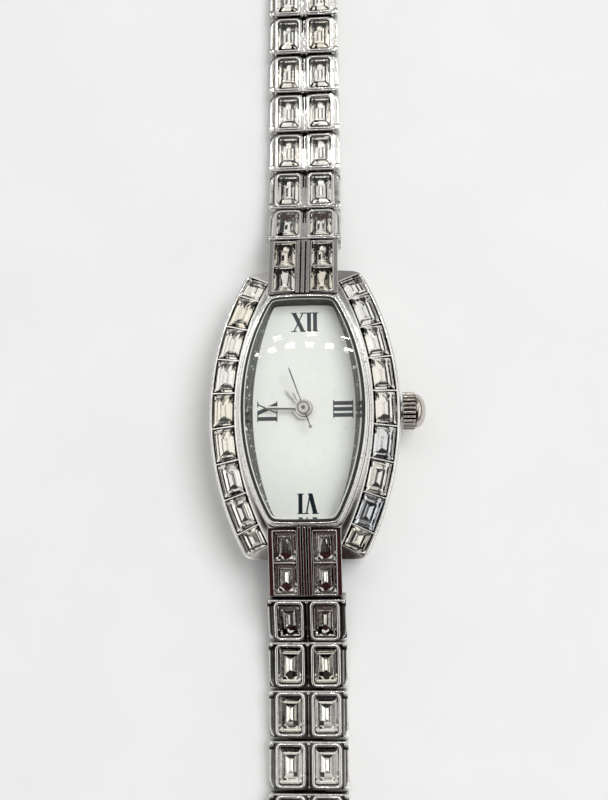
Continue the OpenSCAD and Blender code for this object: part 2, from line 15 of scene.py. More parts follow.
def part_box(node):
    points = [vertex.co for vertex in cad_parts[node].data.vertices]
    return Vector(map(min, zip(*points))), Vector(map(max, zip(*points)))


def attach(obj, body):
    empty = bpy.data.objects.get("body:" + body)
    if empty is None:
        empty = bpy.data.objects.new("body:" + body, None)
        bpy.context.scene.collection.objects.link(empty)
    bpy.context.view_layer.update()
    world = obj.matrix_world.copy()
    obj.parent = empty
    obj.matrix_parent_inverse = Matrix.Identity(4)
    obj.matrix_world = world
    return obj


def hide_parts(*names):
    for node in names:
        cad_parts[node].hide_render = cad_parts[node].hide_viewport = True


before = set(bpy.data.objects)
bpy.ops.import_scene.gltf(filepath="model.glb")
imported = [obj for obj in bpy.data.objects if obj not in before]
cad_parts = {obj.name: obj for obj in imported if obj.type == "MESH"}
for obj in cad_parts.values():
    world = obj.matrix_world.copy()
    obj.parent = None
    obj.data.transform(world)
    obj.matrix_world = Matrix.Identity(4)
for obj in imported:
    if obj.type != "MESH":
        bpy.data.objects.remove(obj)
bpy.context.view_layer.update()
MM = 0.001

# %% [markdown]
# ## The camera
# The photograph was taken from a hand's width above the dial, a little towards the wearer, with a
# phone. Its place was found from the spacing of the links and stones, so it is written here as a
# point and three small turns, and the lens as a focal length in pixels of the 608 x 800 frame.

# %% Place the camera
PHOTO_H = 800
FOCAL_PX = 900
EYE = Vector((5.876, -17.037, 97.204))
TILT, YAW, ROLL = 0.195, 0.063, -0.019

camera = bpy.data.objects.new("camera", bpy.data.cameras.new("camera"))
bpy.context.scene.collection.objects.link(camera)
camera.data.sensor_fit = "VERTICAL"
camera.data.angle = 2 * math.atan(PHOTO_H / 2 / FOCAL_PX)
camera.data.clip_start = 1 * MM
turn = Matrix.Rotation(TILT, 4, "X") @ Matrix.Rotation(YAW, 4, "Y") @ Matrix.Rotation(ROLL, 4, "Z")
camera.matrix_world = Matrix.Translation(EYE * MM) @ turn
bpy.context.scene.camera = camera
bpy.context.scene.view_settings.view_transform = "Standard"
print("lens:", round(math.degrees(camera.data.angle), 2), "degrees high")

# %% [markdown]
# ## Node trees in few words
# Materials, the world and Geometry Nodes are all trees of nodes. Two helpers build every tree of
# this lesson: feed fills a node's inputs, where a socket is linked and a plain value is set, and
# place adds a node and hands back one of its outputs, ready to be fed to the next.


# %% Helpers for node trees
def feed(tree, node, *fed, **values):
    """Sets properties, and fills inputs in order or by name, with _ for a blank; None is left out."""
    for name in [name for name in values if hasattr(node, name)]:
        setattr(node, name, values.pop(name))
    named = [(node.inputs[name.replace("_", " ")], value) for name, value in values.items()]
    for socket, value in [*zip(node.inputs, fed), *named]:
        if isinstance(value, bpy.types.NodeSocket):
            tree.links.new(value, socket)
        elif value is not None:
            socket.default_value = value
    return node


def place(tree, kind, *fed, output=0, **values):
    """Adds a node, feeds it and returns one of its outputs."""
    return feed(tree, tree.nodes.new(kind), *fed, **values).outputs[output]


def chain(tree, value, *steps):
    """Runs a value through Math nodes. A step is an operation and the terms that go with it."""
    for operation, *terms in steps:
        value = place(tree, "ShaderNodeMath", value, *terms, operation=operation)
    return value


def soft_step(tree, value, low, high, top=1.0):
    """0 up to low, top from high on, and a soft slope in between."""
    return place(tree, "ShaderNodeMapRange", value, low, high, 0.0, top, interpolation_type="SMOOTHSTEP")


def mix(tree, amount, a, b):
    """A colour between two others."""
    return place(tree, "ShaderNodeMix", amount, data_type="RGBA", A=a, B=b, output="Result")


def colour_ramp(tree, stops, position):
    """The colour at a position between stops, each a place and a colour."""
    colour = place(tree, "ShaderNodeValToRGB", position)
    elements = colour.node.color_ramp.elements
    while len(elements) < len(stops):
        elements.new(0.5)
    for element, (at, hue) in zip(elements, stops):
        element.position = at
        element.color = (*hue, 1)
    return colour


print("tree helpers: feed, place, chain, soft_step, mix and colour_ramp")

# %% [markdown]
# ## The room
# Polished metal has almost no colour of its own, so it shows the room. Plain surfaces are lit by an
# even white. A second, patterned sky is seen only by rays that bounce off metal or pass through
# glass: white walls, a dim ceiling with two rows of small lamps, and the dark shape of whoever leans
# over the watch. One colour ramp runs along the watch, from the wearer's side over the ceiling to
# the far side, and another one takes over to the left and right.

# %% Build the room
ROOM_STOPS = [
    (-90, (0.3, 0.29, 0.28)),
    (-70, (0.22, 0.2, 0.19)),
    (-58, (0.02, 0.011, 0.011)),
    (-40, (0.034, 0.01, 0.01)),
    (-28, (0.02, 0.018, 0.018)),
    (-17, (0.04, 0.037, 0.035)),
    (-11, (0.5, 0.49, 0.48)),
    (-4, (0.95, 0.94, 0.92)),
    (12, (0.9, 0.89, 0.87)),
    (24, (1.1, 1.1, 1.08)),
    (36, (0.85, 0.85, 0.83)),
    (42, (0.32, 0.315, 0.31)),
    (58, (0.23, 0.225, 0.22)),
    (68, (0.3, 0.295, 0.29)),
    (75, (0.85, 0.85, 0.83)),
    (84, (0.08, 0.08, 0.08)),
]
SIDE_STOPS = [
    (0.0, (0.25, 0.24, 0.23)),
    (0.08, (0.05, 0.045, 0.04)),
    (0.2, (0.1, 0.095, 0.09)),
    (0.28, (0.85, 0.85, 0.83)),
    (0.36, (1.3, 1.3, 1.27)),
    (0.62, (1.3, 1.3, 1.27)),
    (0.74, (0.6, 0.59, 0.57)),
    (1.0, (0.3, 0.29, 0.28)),
]
SIDE_FROM, SIDE_TO = 0.3, 0.7
STONE_GLOW, STONE_SHARE, STONE_DARK_TO_LIGHT = (1.0, 0.985, 0.95, 1), 0.8, (0.4, 0.53)
LAMP_ROWS = [(0.585, 0.01, 0.228, 0.22), (0.675, 0.006, 0.41, 0.06)]  # place, height, spacing, width
LAMP_SHIFT, LAMP_ROW_END, CEILING_LAMP = 50.42, 0.5, 50.0
BACKGROUND = (0.9, 0.9, 0.905, 1)
EVEN_LIGHT = 0.38

world = bpy.data.worlds.new("room")
bpy.context.scene.world = world
world.use_nodes = True
tree = world.node_tree
tree.nodes.clear()
ray = place(tree, "ShaderNodeTexCoord", output="Generated")
x, y, z = place(tree, "ShaderNodeSeparateXYZ", ray).node.outputs
aside = chain(tree, x, ("ABSOLUTE",))
turned = chain(tree, y, ("ARCTAN2", z), ("DIVIDE", math.pi), ("ADD", 0.5))
walls = mix(
    tree,
    soft_step(tree, aside, SIDE_FROM, SIDE_TO),
    colour_ramp(tree, [(0.5 + degrees / 180, colour) for degrees, colour in ROOM_STOPS], turned),
    colour_ramp(tree, SIDE_STOPS, z),
)
over = chain(tree, z, ("MAXIMUM", 0.05))
glow = 0.0
for row, half_height, spacing, width in LAMP_ROWS:
    off = chain(tree, y, ("DIVIDE", over), ("SUBTRACT", row), ("ABSOLUTE",))
    cell = chain(tree, x, ("DIVIDE", over), ("DIVIDE", spacing), ("ADD", LAMP_SHIFT), ("FRACT",))
    near = chain(tree, cell, ("SUBTRACT", 0.5), ("ABSOLUTE",), ("LESS_THAN", width / 2 + 0.1))
    in_row = chain(tree, aside, ("LESS_THAN", LAMP_ROW_END))
    inside = chain(tree, off, ("LESS_THAN", half_height), ("MULTIPLY", near), ("MULTIPLY", in_row))
    glow = chain(tree, inside, ("ADD", glow))
clutter = place(tree, "ShaderNodeTexNoise", ray, Scale=5.0, Detail=3.0)
lamps = chain(tree, glow, ("MULTIPLY", CEILING_LAMP))
shade = chain(tree, clutter, ("MULTIPLY", 1.1), ("ADD", 0.45), ("ADD", lamps))
lit = place(tree, "ShaderNodeVectorMath", walls, operation="SCALE", Scale=shade)
rays = place(tree, "ShaderNodeLightPath").node.outputs
window = soft_step(tree, turned, *STONE_DARK_TO_LIGHT, STONE_SHARE)
brighter = mix(tree, chain(tree, rays["Is Transmission Ray"], ("MULTIPLY", window)), lit, STONE_GLOW)
picture = place(tree, "ShaderNodeBackground", mix(tree, rays["Is Camera Ray"], brighter, BACKGROUND))
plain = place(tree, "ShaderNodeBackground", (1, 1, 1, 1), EVEN_LIGHT)
chosen = place(tree, "ShaderNodeMixShader", rays["Is Diffuse Ray"], picture, plain)
feed(tree, tree.nodes.new("ShaderNodeOutputWorld"), chosen)
print("room:", len(tree.nodes), "nodes")

# %% [markdown]
# ## The window
# One large lamp far to the right stands for the window. It gives the soft shadow on the left. It is
# hidden from mirror and glass rays, because the room's picture already holds what they see.

# %% Hang the lamp
LAMP_AT = Vector((580, 230, 1010))
LAMP_SIZE = 700
LAMP_WATTS = 8.9

lamp = bpy.data.objects.new("window", bpy.data.lights.new("window", "AREA"))
bpy.context.scene.collection.objects.link(lamp)
lamp.data.size = LAMP_SIZE * MM
lamp.data.energy = LAMP_WATTS
lamp.location = LAMP_AT * MM
lamp.visible_glossy = lamp.visible_transmission = False
lamp.rotation_euler = (-LAMP_AT).to_track_quat("-Z", "Y").to_euler()
print("lamp:", LAMP_WATTS, "W")

# %% [markdown]
# ## Shared surface effects
# Polished plate is never quite flat: it has slow waves from the polishing wheel, fine hair
# scratches, smudges and small specks, dark ones from wear, and on the dial ring bright ones that
# are painted glints. This effect is one node group, placed in every polished metal with that
# metal's own values. The group only puts out roughness, a normal and a mask of specks. Each
# material keeps its own shader, so that one finish can change by itself.

# %% A group for polish
SOCKET_KINDS = {float: "Float", int: "Int", tuple: "Vector"}


def new_tree(kind, name, inputs, outputs):
    """A node tree with named sockets. An input is given by its value, or by the name of its kind."""
    tree = bpy.data.node_groups.new(name, kind)
    for label, value in inputs.items():
        plain = type(value) in SOCKET_KINDS
        kind_name = SOCKET_KINDS[type(value)] if plain else value
        socket = tree.interface.new_socket(label, in_out="INPUT", socket_type="NodeSocket" + kind_name)
        if plain:
            socket.default_value = value
    for label, kind_name in outputs.items():
        tree.interface.new_socket(label, in_out="OUTPUT", socket_type="NodeSocket" + kind_name)
    return tree, tree.nodes.new("NodeGroupInput").outputs, tree.nodes.new("NodeGroupOutput")


def noise(tree, vector, size, detail):
    """Fractal noise with spots of about this size in mm."""
    scale = chain(tree, 1 / MM, ("DIVIDE", size))
    return place(tree, "ShaderNodeTexNoise", vector, Scale=scale, Detail=detail)


def bump(tree, height, depth, normal=None):
    """The normal of a surface raised by a height from 0 to 1, over a depth in mm."""
    distance = chain(tree, depth, ("MULTIPLY", MM))
    return place(tree, "ShaderNodeBump", Strength=1.0, Height=height, Distance=distance, Normal=normal)


POLISH_VALUES = {
    "Roughness": 0.06,
    "Wave size": 1.6,
    "Wave depth": 0.01,
    "Scratch depth": 0.0006,
    "Smudge": 0.04,
    "Speck size": 0.22,
    "Specks": 0.5,
}
HAIR_SCALE, SMEAR_SCALE = 9000.0, 450.0  # waves of noise to a metre
polish, given, result = new_tree(
    "ShaderNodeTree", "polish", POLISH_VALUES, {"Roughness": "Float", "Normal": "Vector", "Specks": "Float"}
)
spot = place(polish, "ShaderNodeTexCoord", output="Object")
waves = noise(polish, spot, given["Wave size"], 1.0)
stretched = place(polish, "ShaderNodeMapping", spot, Scale=(3.0, 0.35, 1.0), Rotation=(0, 0, 0.5))
hairs = place(polish, "ShaderNodeTexNoise", stretched, Scale=HAIR_SCALE, Detail=3.0)
smudges = place(polish, "ShaderNodeTexNoise", spot, Scale=SMEAR_SCALE, Detail=4.0)
smear = chain(polish, smudges, ("SUBTRACT", 0.4), ("MULTIPLY", given["Smudge"]))
feed(
    polish,
    result,
    Roughness=chain(polish, smear, ("ADD", given["Roughness"])),
    Normal=bump(polish, hairs, given["Scratch depth"], bump(polish, waves, given["Wave depth"])),
    Specks=soft_step(polish, noise(polish, spot, given["Speck size"], 2.0), 0.6, 0.7, given["Specks"]),
)
print("polish:", len(polish.nodes), "nodes")

# %% [markdown]
# Brushed steel, lacquer, plastic and the sheet under the watch have a grain instead. They differ
# only in its size, stretch and depth, so a second group with these three inputs serves them all.

# %% A group for grain
grain, given, result = new_tree(
    "ShaderNodeTree",
    "grain",
    {"Size": 0.1, "Stretch": 1.0, "Depth": 0.002},
    {"Mask": "Float", "Normal": "Vector"},
)
spot = place(grain, "ShaderNodeTexCoord", output="Object")
shape = place(grain, "ShaderNodeCombineXYZ", 1.0, chain(grain, 1.0, ("DIVIDE", given["Stretch"])), 1.0)
drawn = place(grain, "ShaderNodeVectorMath", spot, shape, operation="MULTIPLY")
grains = noise(grain, drawn, given["Size"], 3.0)
feed(grain, result, Mask=grains, Normal=bump(grain, grains, given["Depth"]))
print("grain:", len(grain.nodes), "nodes")

# %% [markdown]
# ## Finishes
# The case and bracelet are plated and polished, with painted shade in their crevices. Brushed,
# lacquered and moulded surfaces take their colour and roughness from the grain. A piece marks
# where it takes painted shade with an attribute, so one silver serves the whole watch.


# %% Metals, lacquer and plastic
def new_material(name, colour, **values):
    """A material with these plain values, such as Transmission_Weight; also its tree and shader."""
    material = bpy.data.materials.new(name)
    material.use_nodes = True
    tree = material.node_tree
    shader = feed(tree, tree.nodes["Principled BSDF"], Base_Color=(*colour, 1), **values)
    return material, tree, shader


# Dark colour for dirt specks and for painted shade.
DIRT_AND_PAINTED_SHADE = (0.05, 0.042, 0.038, 1)


def polished(name, colour, speck_colour=DIRT_AND_PAINTED_SHADE, **values):
    """A polished metal with specks of another colour. An attribute from 0 to 1 paints shade into it."""
    material, tree, shader = new_material(name, colour, Metallic=1.0)
    effect = place(tree, "ShaderNodeGroup", node_tree=polish, **values).node.outputs
    speckled = mix(tree, effect["Specks"], (*colour, 1), speck_colour)
    # Painted shade: where the attribute is high, the colour turns dark.
    depth = place(tree, "ShaderNodeAttribute", attribute_name="painted_shade", output="Fac")
    colour_here = mix(tree, depth, speckled, DIRT_AND_PAINTED_SHADE)
    feed(tree, shader, Base_Color=colour_here, Roughness=effect["Roughness"], Normal=effect["Normal"])
    return material


def grained(name, low, high, rough=(0.3, 0.5), metallic=0.0, **values):
    """A surface whose colour and roughness both run between two values along the grain's mask."""
    material, tree, shader = new_material(name, low, Metallic=metallic)
    effect = place(tree, "ShaderNodeGroup", node_tree=grain, **values).node.outputs
    colour = colour_ramp(tree, [(0.3, low), (0.7, high)], effect["Mask"])
    roughness = place(tree, "ShaderNodeMapRange", effect["Mask"], 0.0, 1.0, *rough)
    feed(tree, shader, Base_Color=colour, Roughness=roughness, Normal=effect["Normal"])
    return material


INK_GLOSS = 0.1
silver = polished("polished_silver", (0.88, 0.87, 0.85), Wave_depth=0.02)
RING_VALUES = {"Roughness": 0.15, "Wave_size": 0.3, "Wave_depth": 0.03, "Specks": 1.0, "Speck_size": 0.45}
# Its bright specks are painted glints.
ring_steel = polished("ring_steel", (0.13, 0.135, 0.13), (0.95, 0.95, 0.94, 1), **RING_VALUES)
crown_steel = polished("crown_steel", (0.6, 0.56, 0.51), Roughness=0.1, Wave_depth=0.01)
arbor_steel = polished("arbor_steel", (0.1, 0.1, 0.1), Roughness=0.2, Wave_depth=0.002)
hand_silver = polished("hand_silver", (0.86, 0.85, 0.83), Roughness=0.1, Wave_depth=0.002, Specks=0.0)
FOIL_VALUES = {"Roughness": 0.04, "Wave_size": 0.6, "Wave_depth": 0.004, "Smudge": 0.02, "Specks": 0.0}
foil = polished("stone_foil", (0.98, 0.965, 0.94), **FOIL_VALUES)
back_steel = grained(
    "back_steel", (0.66, 0.66, 0.66), (0.76, 0.76, 0.75), (0.22, 0.38), 1.0, Size=0.05, Stretch=30.0
)
brushed_plate = grained(
    "brushed_plate", (0.58, 0.58, 0.6), (0.7, 0.7, 0.7), (0.25, 0.45), 1.0, Size=0.06, Stretch=12.0
)
brass_plate = grained(
    "brass_plate", (0.72, 0.58, 0.3), (0.85, 0.73, 0.42), (0.2, 0.4), 1.0, Size=0.08, Stretch=6.0
)
cell_steel = grained("cell_steel", (0.62, 0.62, 0.62), (0.74, 0.74, 0.74), (0.2, 0.4), 1.0, Size=0.2)
lacquer = grained(
    "white_lacquer", (0.84, 0.855, 0.808), (0.86, 0.875, 0.828), (0.25, 0.32), Size=0.6, Depth=0.0005
)
ink = grained("dial_ink", (0.006, 0.01, 0.018), (0.012, 0.018, 0.028), (0.5, 0.7), Size=0.08, Depth=0.001)
rubber = grained("black_rubber", (0.015, 0.015, 0.016), (0.035, 0.035, 0.035), (0.5, 0.7), Size=0.15)
plastic = grained("holder_plastic", (0.8, 0.8, 0.77), (0.86, 0.86, 0.83), (0.4, 0.55), Size=0.25)
board = grained("board_green", (0.05, 0.22, 0.1), (0.09, 0.3, 0.15), (0.25, 0.4), Size=0.3)
ink.node_tree.nodes["Principled BSDF"].inputs["Specular IOR Level"].default_value = INK_GLOSS
print("metals, lacquer and plastic:", len(bpy.data.materials))

# %% [markdown]
# ## Crystal and glass
# The stones are solid crystal: light is bent at every facet, so they need real refraction, and each
# stone's own tint picks its hue. The watch glass lies over other pieces. To rays of light it is made
# transparent, or the dial would lie in its shadow; to the eye it still bends and mirrors.

# %% Crystal and glass
STONE_IOR, GLASS_IOR, GLASS_GLOSS = 1.58, 1.5, 0.12
STONE_HUES = [
    (0.0, (0.97, 0.94, 0.84)),
    (0.35, (0.99, 0.985, 0.96)),
    (0.96, (0.97, 0.98, 0.99)),
    (1.0, (0.8, 0.86, 0.97)),
]

clear = {"Roughness": 0.0, "Transmission_Weight": 1.0}
crystal, tree, shader = new_material("crystal", (0.8, 0.8, 0.8), IOR=STONE_IOR, **clear)
tint = place(tree, "ShaderNodeAttribute", attribute_name="tint", output="Fac")
feed(tree, shader, Base_Color=colour_ramp(tree, STONE_HUES, tint))

faint = {"IOR": GLASS_IOR, "Specular_IOR_Level": GLASS_GLOSS}
sapphire, tree, shader = new_material("sapphire_glass", (0.985, 0.995, 0.99), **clear, **faint)
rays = place(tree, "ShaderNodeLightPath").node.outputs
of_light = chain(tree, rays["Is Shadow Ray"], ("MAXIMUM", rays["Is Diffuse Ray"]))
through = place(tree, "ShaderNodeBsdfTransparent")
either = place(tree, "ShaderNodeMixShader", of_light, shader.outputs[0], through)
feed(tree, tree.nodes["Material Output"], either)
print("materials:", len(bpy.data.materials))

# %% [markdown]
# ## The table it lies on
# A matt white sheet. It is staged, so it isn't part of the watch. Far from the watch it passes into
# the background's own white, so that a view from low down shows no edge. Only the camera sees this:
# metal and glass still mirror the plain sheet.

# %% Lay the sheet
FLOOR_REACH = 1500
FADE_FROM, FADE_TO = 150, 600

table_white = grained("table_white", (0.85, 0.85, 0.85), (0.88, 0.88, 0.88), (0.6, 0.8), Size=14.0)
tree = table_white.node_tree
spot = place(tree, "ShaderNodeTexCoord", output="Object")
away = place(tree, "ShaderNodeVectorMath", spot, operation="LENGTH", output="Value")
far = soft_step(tree, away, FADE_FROM * MM, FADE_TO * MM)
to_camera = place(tree, "ShaderNodeLightPath", output="Is Camera Ray")
white = place(tree, "ShaderNodeEmission", BACKGROUND, 1.0)
sheet_shader = tree.nodes["Principled BSDF"].outputs[0]
faded = place(tree, "ShaderNodeMixShader", chain(tree, far, ("MULTIPLY", to_camera)), sheet_shader, white)
feed(tree, tree.nodes["Material Output"], faded)

corner = FLOOR_REACH * MM
sheet_mesh = bpy.data.meshes.new("floor")
corners = [(sx * corner, sy * corner, 0) for sx, sy in ((-1, -1), (1, -1), (1, 1), (-1, 1))]
sheet_mesh.from_pydata(corners, [], [(0, 1, 2, 3)])
floor = bpy.data.objects.new("floor", sheet_mesh)
bpy.context.scene.collection.objects.link(floor)
floor.data.materials.append(table_white)

# %% [markdown]
# ## Two ways to make a metal piece
# A piece with flat faces, such as a link, starts as a copy of its CAD node: the loose triangles
# are merged into whole faces, and the sharp edges are rounded, because a rounded edge is what draws
# the bright line round every polished part. A piece with a domed top, such as the case, is swept
# round its outline instead, where the roundings are part of the swept profile.

# %% Helpers for pieces
SHARP_ANGLE, ROUND_STEPS = 30, 3
WHOLE_FACE_ANGLE = 0.6


def add_object(name, mesh):
    """Puts a mesh in the scene as an object at the origin."""
    obj = bpy.data.objects.new(name, mesh)
    bpy.context.scene.collection.objects.link(obj)
    return obj


def mesh_from(name, bm, smooth_angle=38):
    """Turns a bmesh into a mesh, smooth but for its sharp edges, or flat if there is no angle."""
    mesh = bpy.data.meshes.new(name)
    bm.to_mesh(mesh)
    bm.free()
    if smooth_angle:
        mesh.shade_smooth()
        mesh.set_sharp_from_angle(angle=math.radians(smooth_angle))
    return mesh


def baked(obj):
    """Replaces an object's mesh by its evaluated one, and takes its modifiers off."""
    result = bpy.data.meshes.new_from_object(obj.evaluated_get(bpy.context.evaluated_depsgraph_get()))
    obj.modifiers.clear()
    obj.data = result
    return obj


def even_normals(obj):
    """Lets large flat faces keep flat shading beside their rounded edges."""
    obj.modifiers.new("weighted", "WEIGHTED_NORMAL").keep_sharp = True
    return baked(obj)


def hand_in(obj, body, slot, *nodes, material=None):
    """Hangs the piece on its body, sets its material if one is given and hides its CAD nodes; slot is not
    used.
    """
    if material:
        obj.data.materials.clear()
        obj.data.materials.append(material)
    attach(obj, body)
    if nodes:
        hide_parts(*nodes)


def add_grid(bm, rows, closed_rows=False, closed_columns=True):
    """Adds rows of points in mm and the faces between them."""
    grid = [[bm.verts.new(Vector(p) * MM) for p in row] for row in rows]
    for a, b in zip(grid, grid[1:] + grid[:1] if closed_rows else grid[1:]):
        for k in range(len(a) if closed_columns else len(a) - 1):
            after = (k + 1) % len(a)
            bm.faces.new((a[k], b[k], b[after], a[after]))


def closed_piece(name, bm, smooth_angle=38, merge=0.0, collapse=0.0):
    """An object with all faces outwards. Closer points merge, smaller edges go; both in mm."""
    if merge:
        bmesh.ops.remove_doubles(bm, verts=bm.verts, dist=merge * MM)
    if collapse:
        bmesh.ops.dissolve_degenerate(bm, edges=bm.edges, dist=collapse * MM)
    bmesh.ops.recalc_face_normals(bm, faces=bm.faces)
    return add_object(name, mesh_from(name, bm, smooth_angle))


def grid_piece(name, rows, closed_columns=True, smooth_angle=38):
    """A piece swept through rows of points in mm, back to the first."""
    bm = bmesh.new()
    add_grid(bm, rows, True, closed_columns)
    return closed_piece(name, bm, smooth_angle, 0.002, 0.002)


def rounded_copy(node, name, width, wanted, change=None, clamp=True):
    """A copy of a CAD node with whole faces, whose wanted sharp edges are rounded. Sizes in mm."""
    bm = bmesh.new()
    bm.from_mesh(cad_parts[node].data)
    bmesh.ops.remove_doubles(bm, verts=bm.verts, dist=0.002 * MM)
    flat = math.radians(WHOLE_FACE_ANGLE)
    bmesh.ops.dissolve_limit(bm, angle_limit=flat, verts=bm.verts, edges=bm.edges)
    if change:
        change(bm)
    sharp = [e for e in bm.edges if e.is_manifold and e.calc_face_angle() > math.radians(SHARP_ANGLE)]
    bmesh.ops.bevel(
        bm,
        geom=[e for e in sharp if wanted(e)],
        offset=width * MM,
        offset_type="OFFSET",
        segments=ROUND_STEPS,
        profile=0.5,
        affect="EDGES",
        clamp_overlap=clamp,
    )
    bmesh.ops.remove_doubles(bm, verts=bm.verts, dist=0.001 * MM)
    for layer in list(bm.loops.layers.uv):
        bm.loops.layers.uv.remove(layer)
    return add_object(name, mesh_from(name, bm))


print("CAD nodes to dress:", len(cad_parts))

# %% [markdown]
# ## The bracelet's frames
# Each link turns about the pin of the link before it. Its own frame has that hinge as origin and
# runs outward along Y, so one drawing serves all twenty links. The lower side is the upper one
# mirrored.

# %% Where the links hang
PITCH = 4.94
LINK_DOWN = 0.8
LINK_SLOPES = {1: 24, 2: 8, 3: 2}
LUG_SLOPE = 20
LUG_HINGE_Y = 17.72
LINKS = 10
MIRROR_Y = Matrix.Scale(-1, 4, (0, 1, 0))
FLIPS = {"upper": Matrix.Identity(4), "lower": MIRROR_Y}


def hinge_place(i):
    """Y and Z of the hinge at the inner end of link i, in mm."""
    y, z = LUG_HINGE_Y, LINK_DOWN + PITCH * sum(math.sin(math.radians(s)) for s in LINK_SLOPES.values())
    for k in range(1, i):
        slope = math.radians(LINK_SLOPES.get(k, 0))
        y, z = y + PITCH * math.cos(slope), z - PITCH * math.sin(slope)
    return y, z


def sloped_frame(place_yz, slope, side):
    """The frame of a link or lug in mm, for the upper or the lower side."""
    m = Matrix.Translation((0, *place_yz)) @ Matrix.Rotation(math.radians(-slope), 4, "X")
    return FLIPS[side] @ m


def link_frame(side, i):
    """The frame of link i."""
    return sloped_frame(hinge_place(i), LINK_SLOPES.get(i, 0), side)


def lug_frame(side):
    """The frame of a lug; its origin is the first link's hinge."""
    return sloped_frame(hinge_place(1), LUG_SLOPE, side)


print("hinges:", [tuple(round(v, 2) for v in hinge_place(i)) for i in range(1, LINKS + 2)])

# %% [markdown]
# ## The cut stone
# A baguette stone is a long step-cut crystal: a flat table, sloping steps, and a roof-shaped
# underside that is foiled like a mirror. Light goes in through the top, meets the foil and comes
# back out, which gives the long stripes and the triangles at the ends. So the stone is one closed
# solid whose top faces are glass and whose underside is foil. It is drawn once, for all the seats.

# %% Draw one stone
STONE_W, STONE_L = 2.3, 3.4
STONE_RINGS = [  # how far in from the side, how far in from the end, height
    (0.32, 0.36, 0.3),
    (0.14, 0.17, 0.2),
    (0.0, 0.0, 0.03),
    (0.0, 0.0, -0.04),
    (0.42, 0.55, -0.36),
    (0.8, 0.95, -0.6),
    (STONE_W / 2, 1.2, -0.74),
]
FOIL_FROM = 2  # the ring below which all faces are foiled

bm = bmesh.new()
foiled = bm.faces.layers.bool.new("foil")
rings = []
for side_in, end_in, z in STONE_RINGS:
    x, y = STONE_W / 2 - side_in, STONE_L / 2 - end_in
    rings.append([bm.verts.new(Vector(p) * MM) for p in ((x, y, z), (-x, y, z), (-x, -y, z), (x, -y, z))])
bm.faces.new(rings[0])
for r, (upper, lower) in enumerate(zip(rings, rings[1:])):
    for k in range(4):
        face = bm.faces.new((upper[k], lower[k], lower[(k + 1) % 4], upper[(k + 1) % 4]))
        face[foiled] = r >= FOIL_FROM
stone_cut = closed_piece("stone_cut", bm, smooth_angle=None, merge=0.001)
print("stone:", len(stone_cut.data.polygons), "facets")

# %% [markdown]
# ## A tree for the stones
# There are fifty stones in the watch, and all have the same cut. A Geometry Nodes tree sets the one
# drawn stone on every seat point, turned and scaled as the point says. Real stones never lie quite
# alike, so the tree also gives each its own slight tilt and tint, from a fixed seed.

# %% A tree that sets stones in their seats
SEED = 7


def geometry_tree(name, **inputs):
    """A tree that takes geometry and these inputs, and puts out geometry."""
    return new_tree("GeometryNodeTree", name, {"Geometry": "Geometry", **inputs}, {"Geometry": "Geometry"})


def read_attribute(tree, name, kind):
    """The value of a named attribute inside a tree."""
    return place(tree, "GeometryNodeInputNamedAttribute", name, data_type=kind, output="Attribute")


setting, given, result = geometry_tree(
    "stone_setting", Stone="Object", Crystal="Material", Foil="Material", Wobble=0.02, Seed=SEED
)
drawn = place(setting, "GeometryNodeObjectInfo", given["Stone"], output="Geometry")
vectors = {"data_type": "FLOAT_VECTOR", "Seed": given["Seed"]}
shake = place(setting, "FunctionNodeRandomValue", (-1, -1, -0.6), (1, 1, 0.6), **vectors)
small = place(setting, "ShaderNodeVectorMath", shake, operation="SCALE", Scale=given["Wobble"])
turn = read_attribute(setting, "turn", "FLOAT_VECTOR")
seat = {
    "Points": given["Geometry"],
    "Rotation": place(setting, "ShaderNodeVectorMath", turn, small, operation="ADD"),
    "Scale": read_attribute(setting, "size", "FLOAT_VECTOR"),
}
stones = place(setting, "GeometryNodeInstanceOnPoints", Instance=drawn, **seat)
next_seed = chain(setting, given["Seed"], ("ADD", 1.0))
hue = place(setting, "FunctionNodeRandomValue", data_type="FLOAT", Seed=next_seed, output=1)
store = {"data_type": "FLOAT", "domain": "INSTANCE", "Name": "tint", "Value": hue}
tinted = place(setting, "GeometryNodeStoreNamedAttribute", stones, **store)
real = place(setting, "GeometryNodeRealizeInstances", tinted)
glassy = place(setting, "GeometryNodeSetMaterial", Geometry=real, Material=given["Crystal"])
underside = read_attribute(setting, "foil", "BOOLEAN")
both = place(setting, "GeometryNodeSetMaterial", Geometry=glassy, Selection=underside, Material=given["Foil"])
feed(setting, result, both)
print("tree:", setting.name, "with", len(setting.nodes), "nodes")


# %% [markdown]
# A piece starts as bare points, one for each seat. The tree runs on them once and its result is
# kept as a plain mesh, so that the piece needs neither the tree nor the points any more.

# %% Set the stones of one body
WOBBLE = 0.025


def grow(obj, tree, **values):
    """Runs a tree on an object with these inputs, such as Stone, and keeps the plain mesh."""
    modifier = obj.modifiers.new(tree.name, "NODES")
    modifier.node_group = tree
    for item in tree.interface.items_tree:
        if item.in_out == "INPUT" and item.name in values:
            modifier[item.identifier] = values[item.name]
    obj.update_tag()
    bpy.context.view_layer.update()
    return baked(obj)


def set_stones(name, seats, body, node, seed):
    """Sets a stone in each seat, a frame in mm with a width and a length, and hands them all in."""
    mesh = bpy.data.meshes.new(name)
    mesh.from_pydata([m.translation * MM for m, _, _ in seats], [], [])
    turns = mesh.attributes.new("turn", "FLOAT_VECTOR", "POINT")
    sizes = mesh.attributes.new("size", "FLOAT_VECTOR", "POINT")
    for k, (m, width, length) in enumerate(seats):
        turns.data[k].vector = m.to_euler()
        sizes.data[k].vector = (width / STONE_W, length / STONE_L, 1)
    finishes = {"Crystal": crystal, "Foil": foil}
    obj = grow(add_object(name, mesh), setting, Stone=stone_cut, Wobble=WOBBLE, Seed=seed, **finishes)
    hand_in(obj, body, "crystal", node)


print("stones tilt by up to", round(math.degrees(WOBBLE), 1), "degrees")

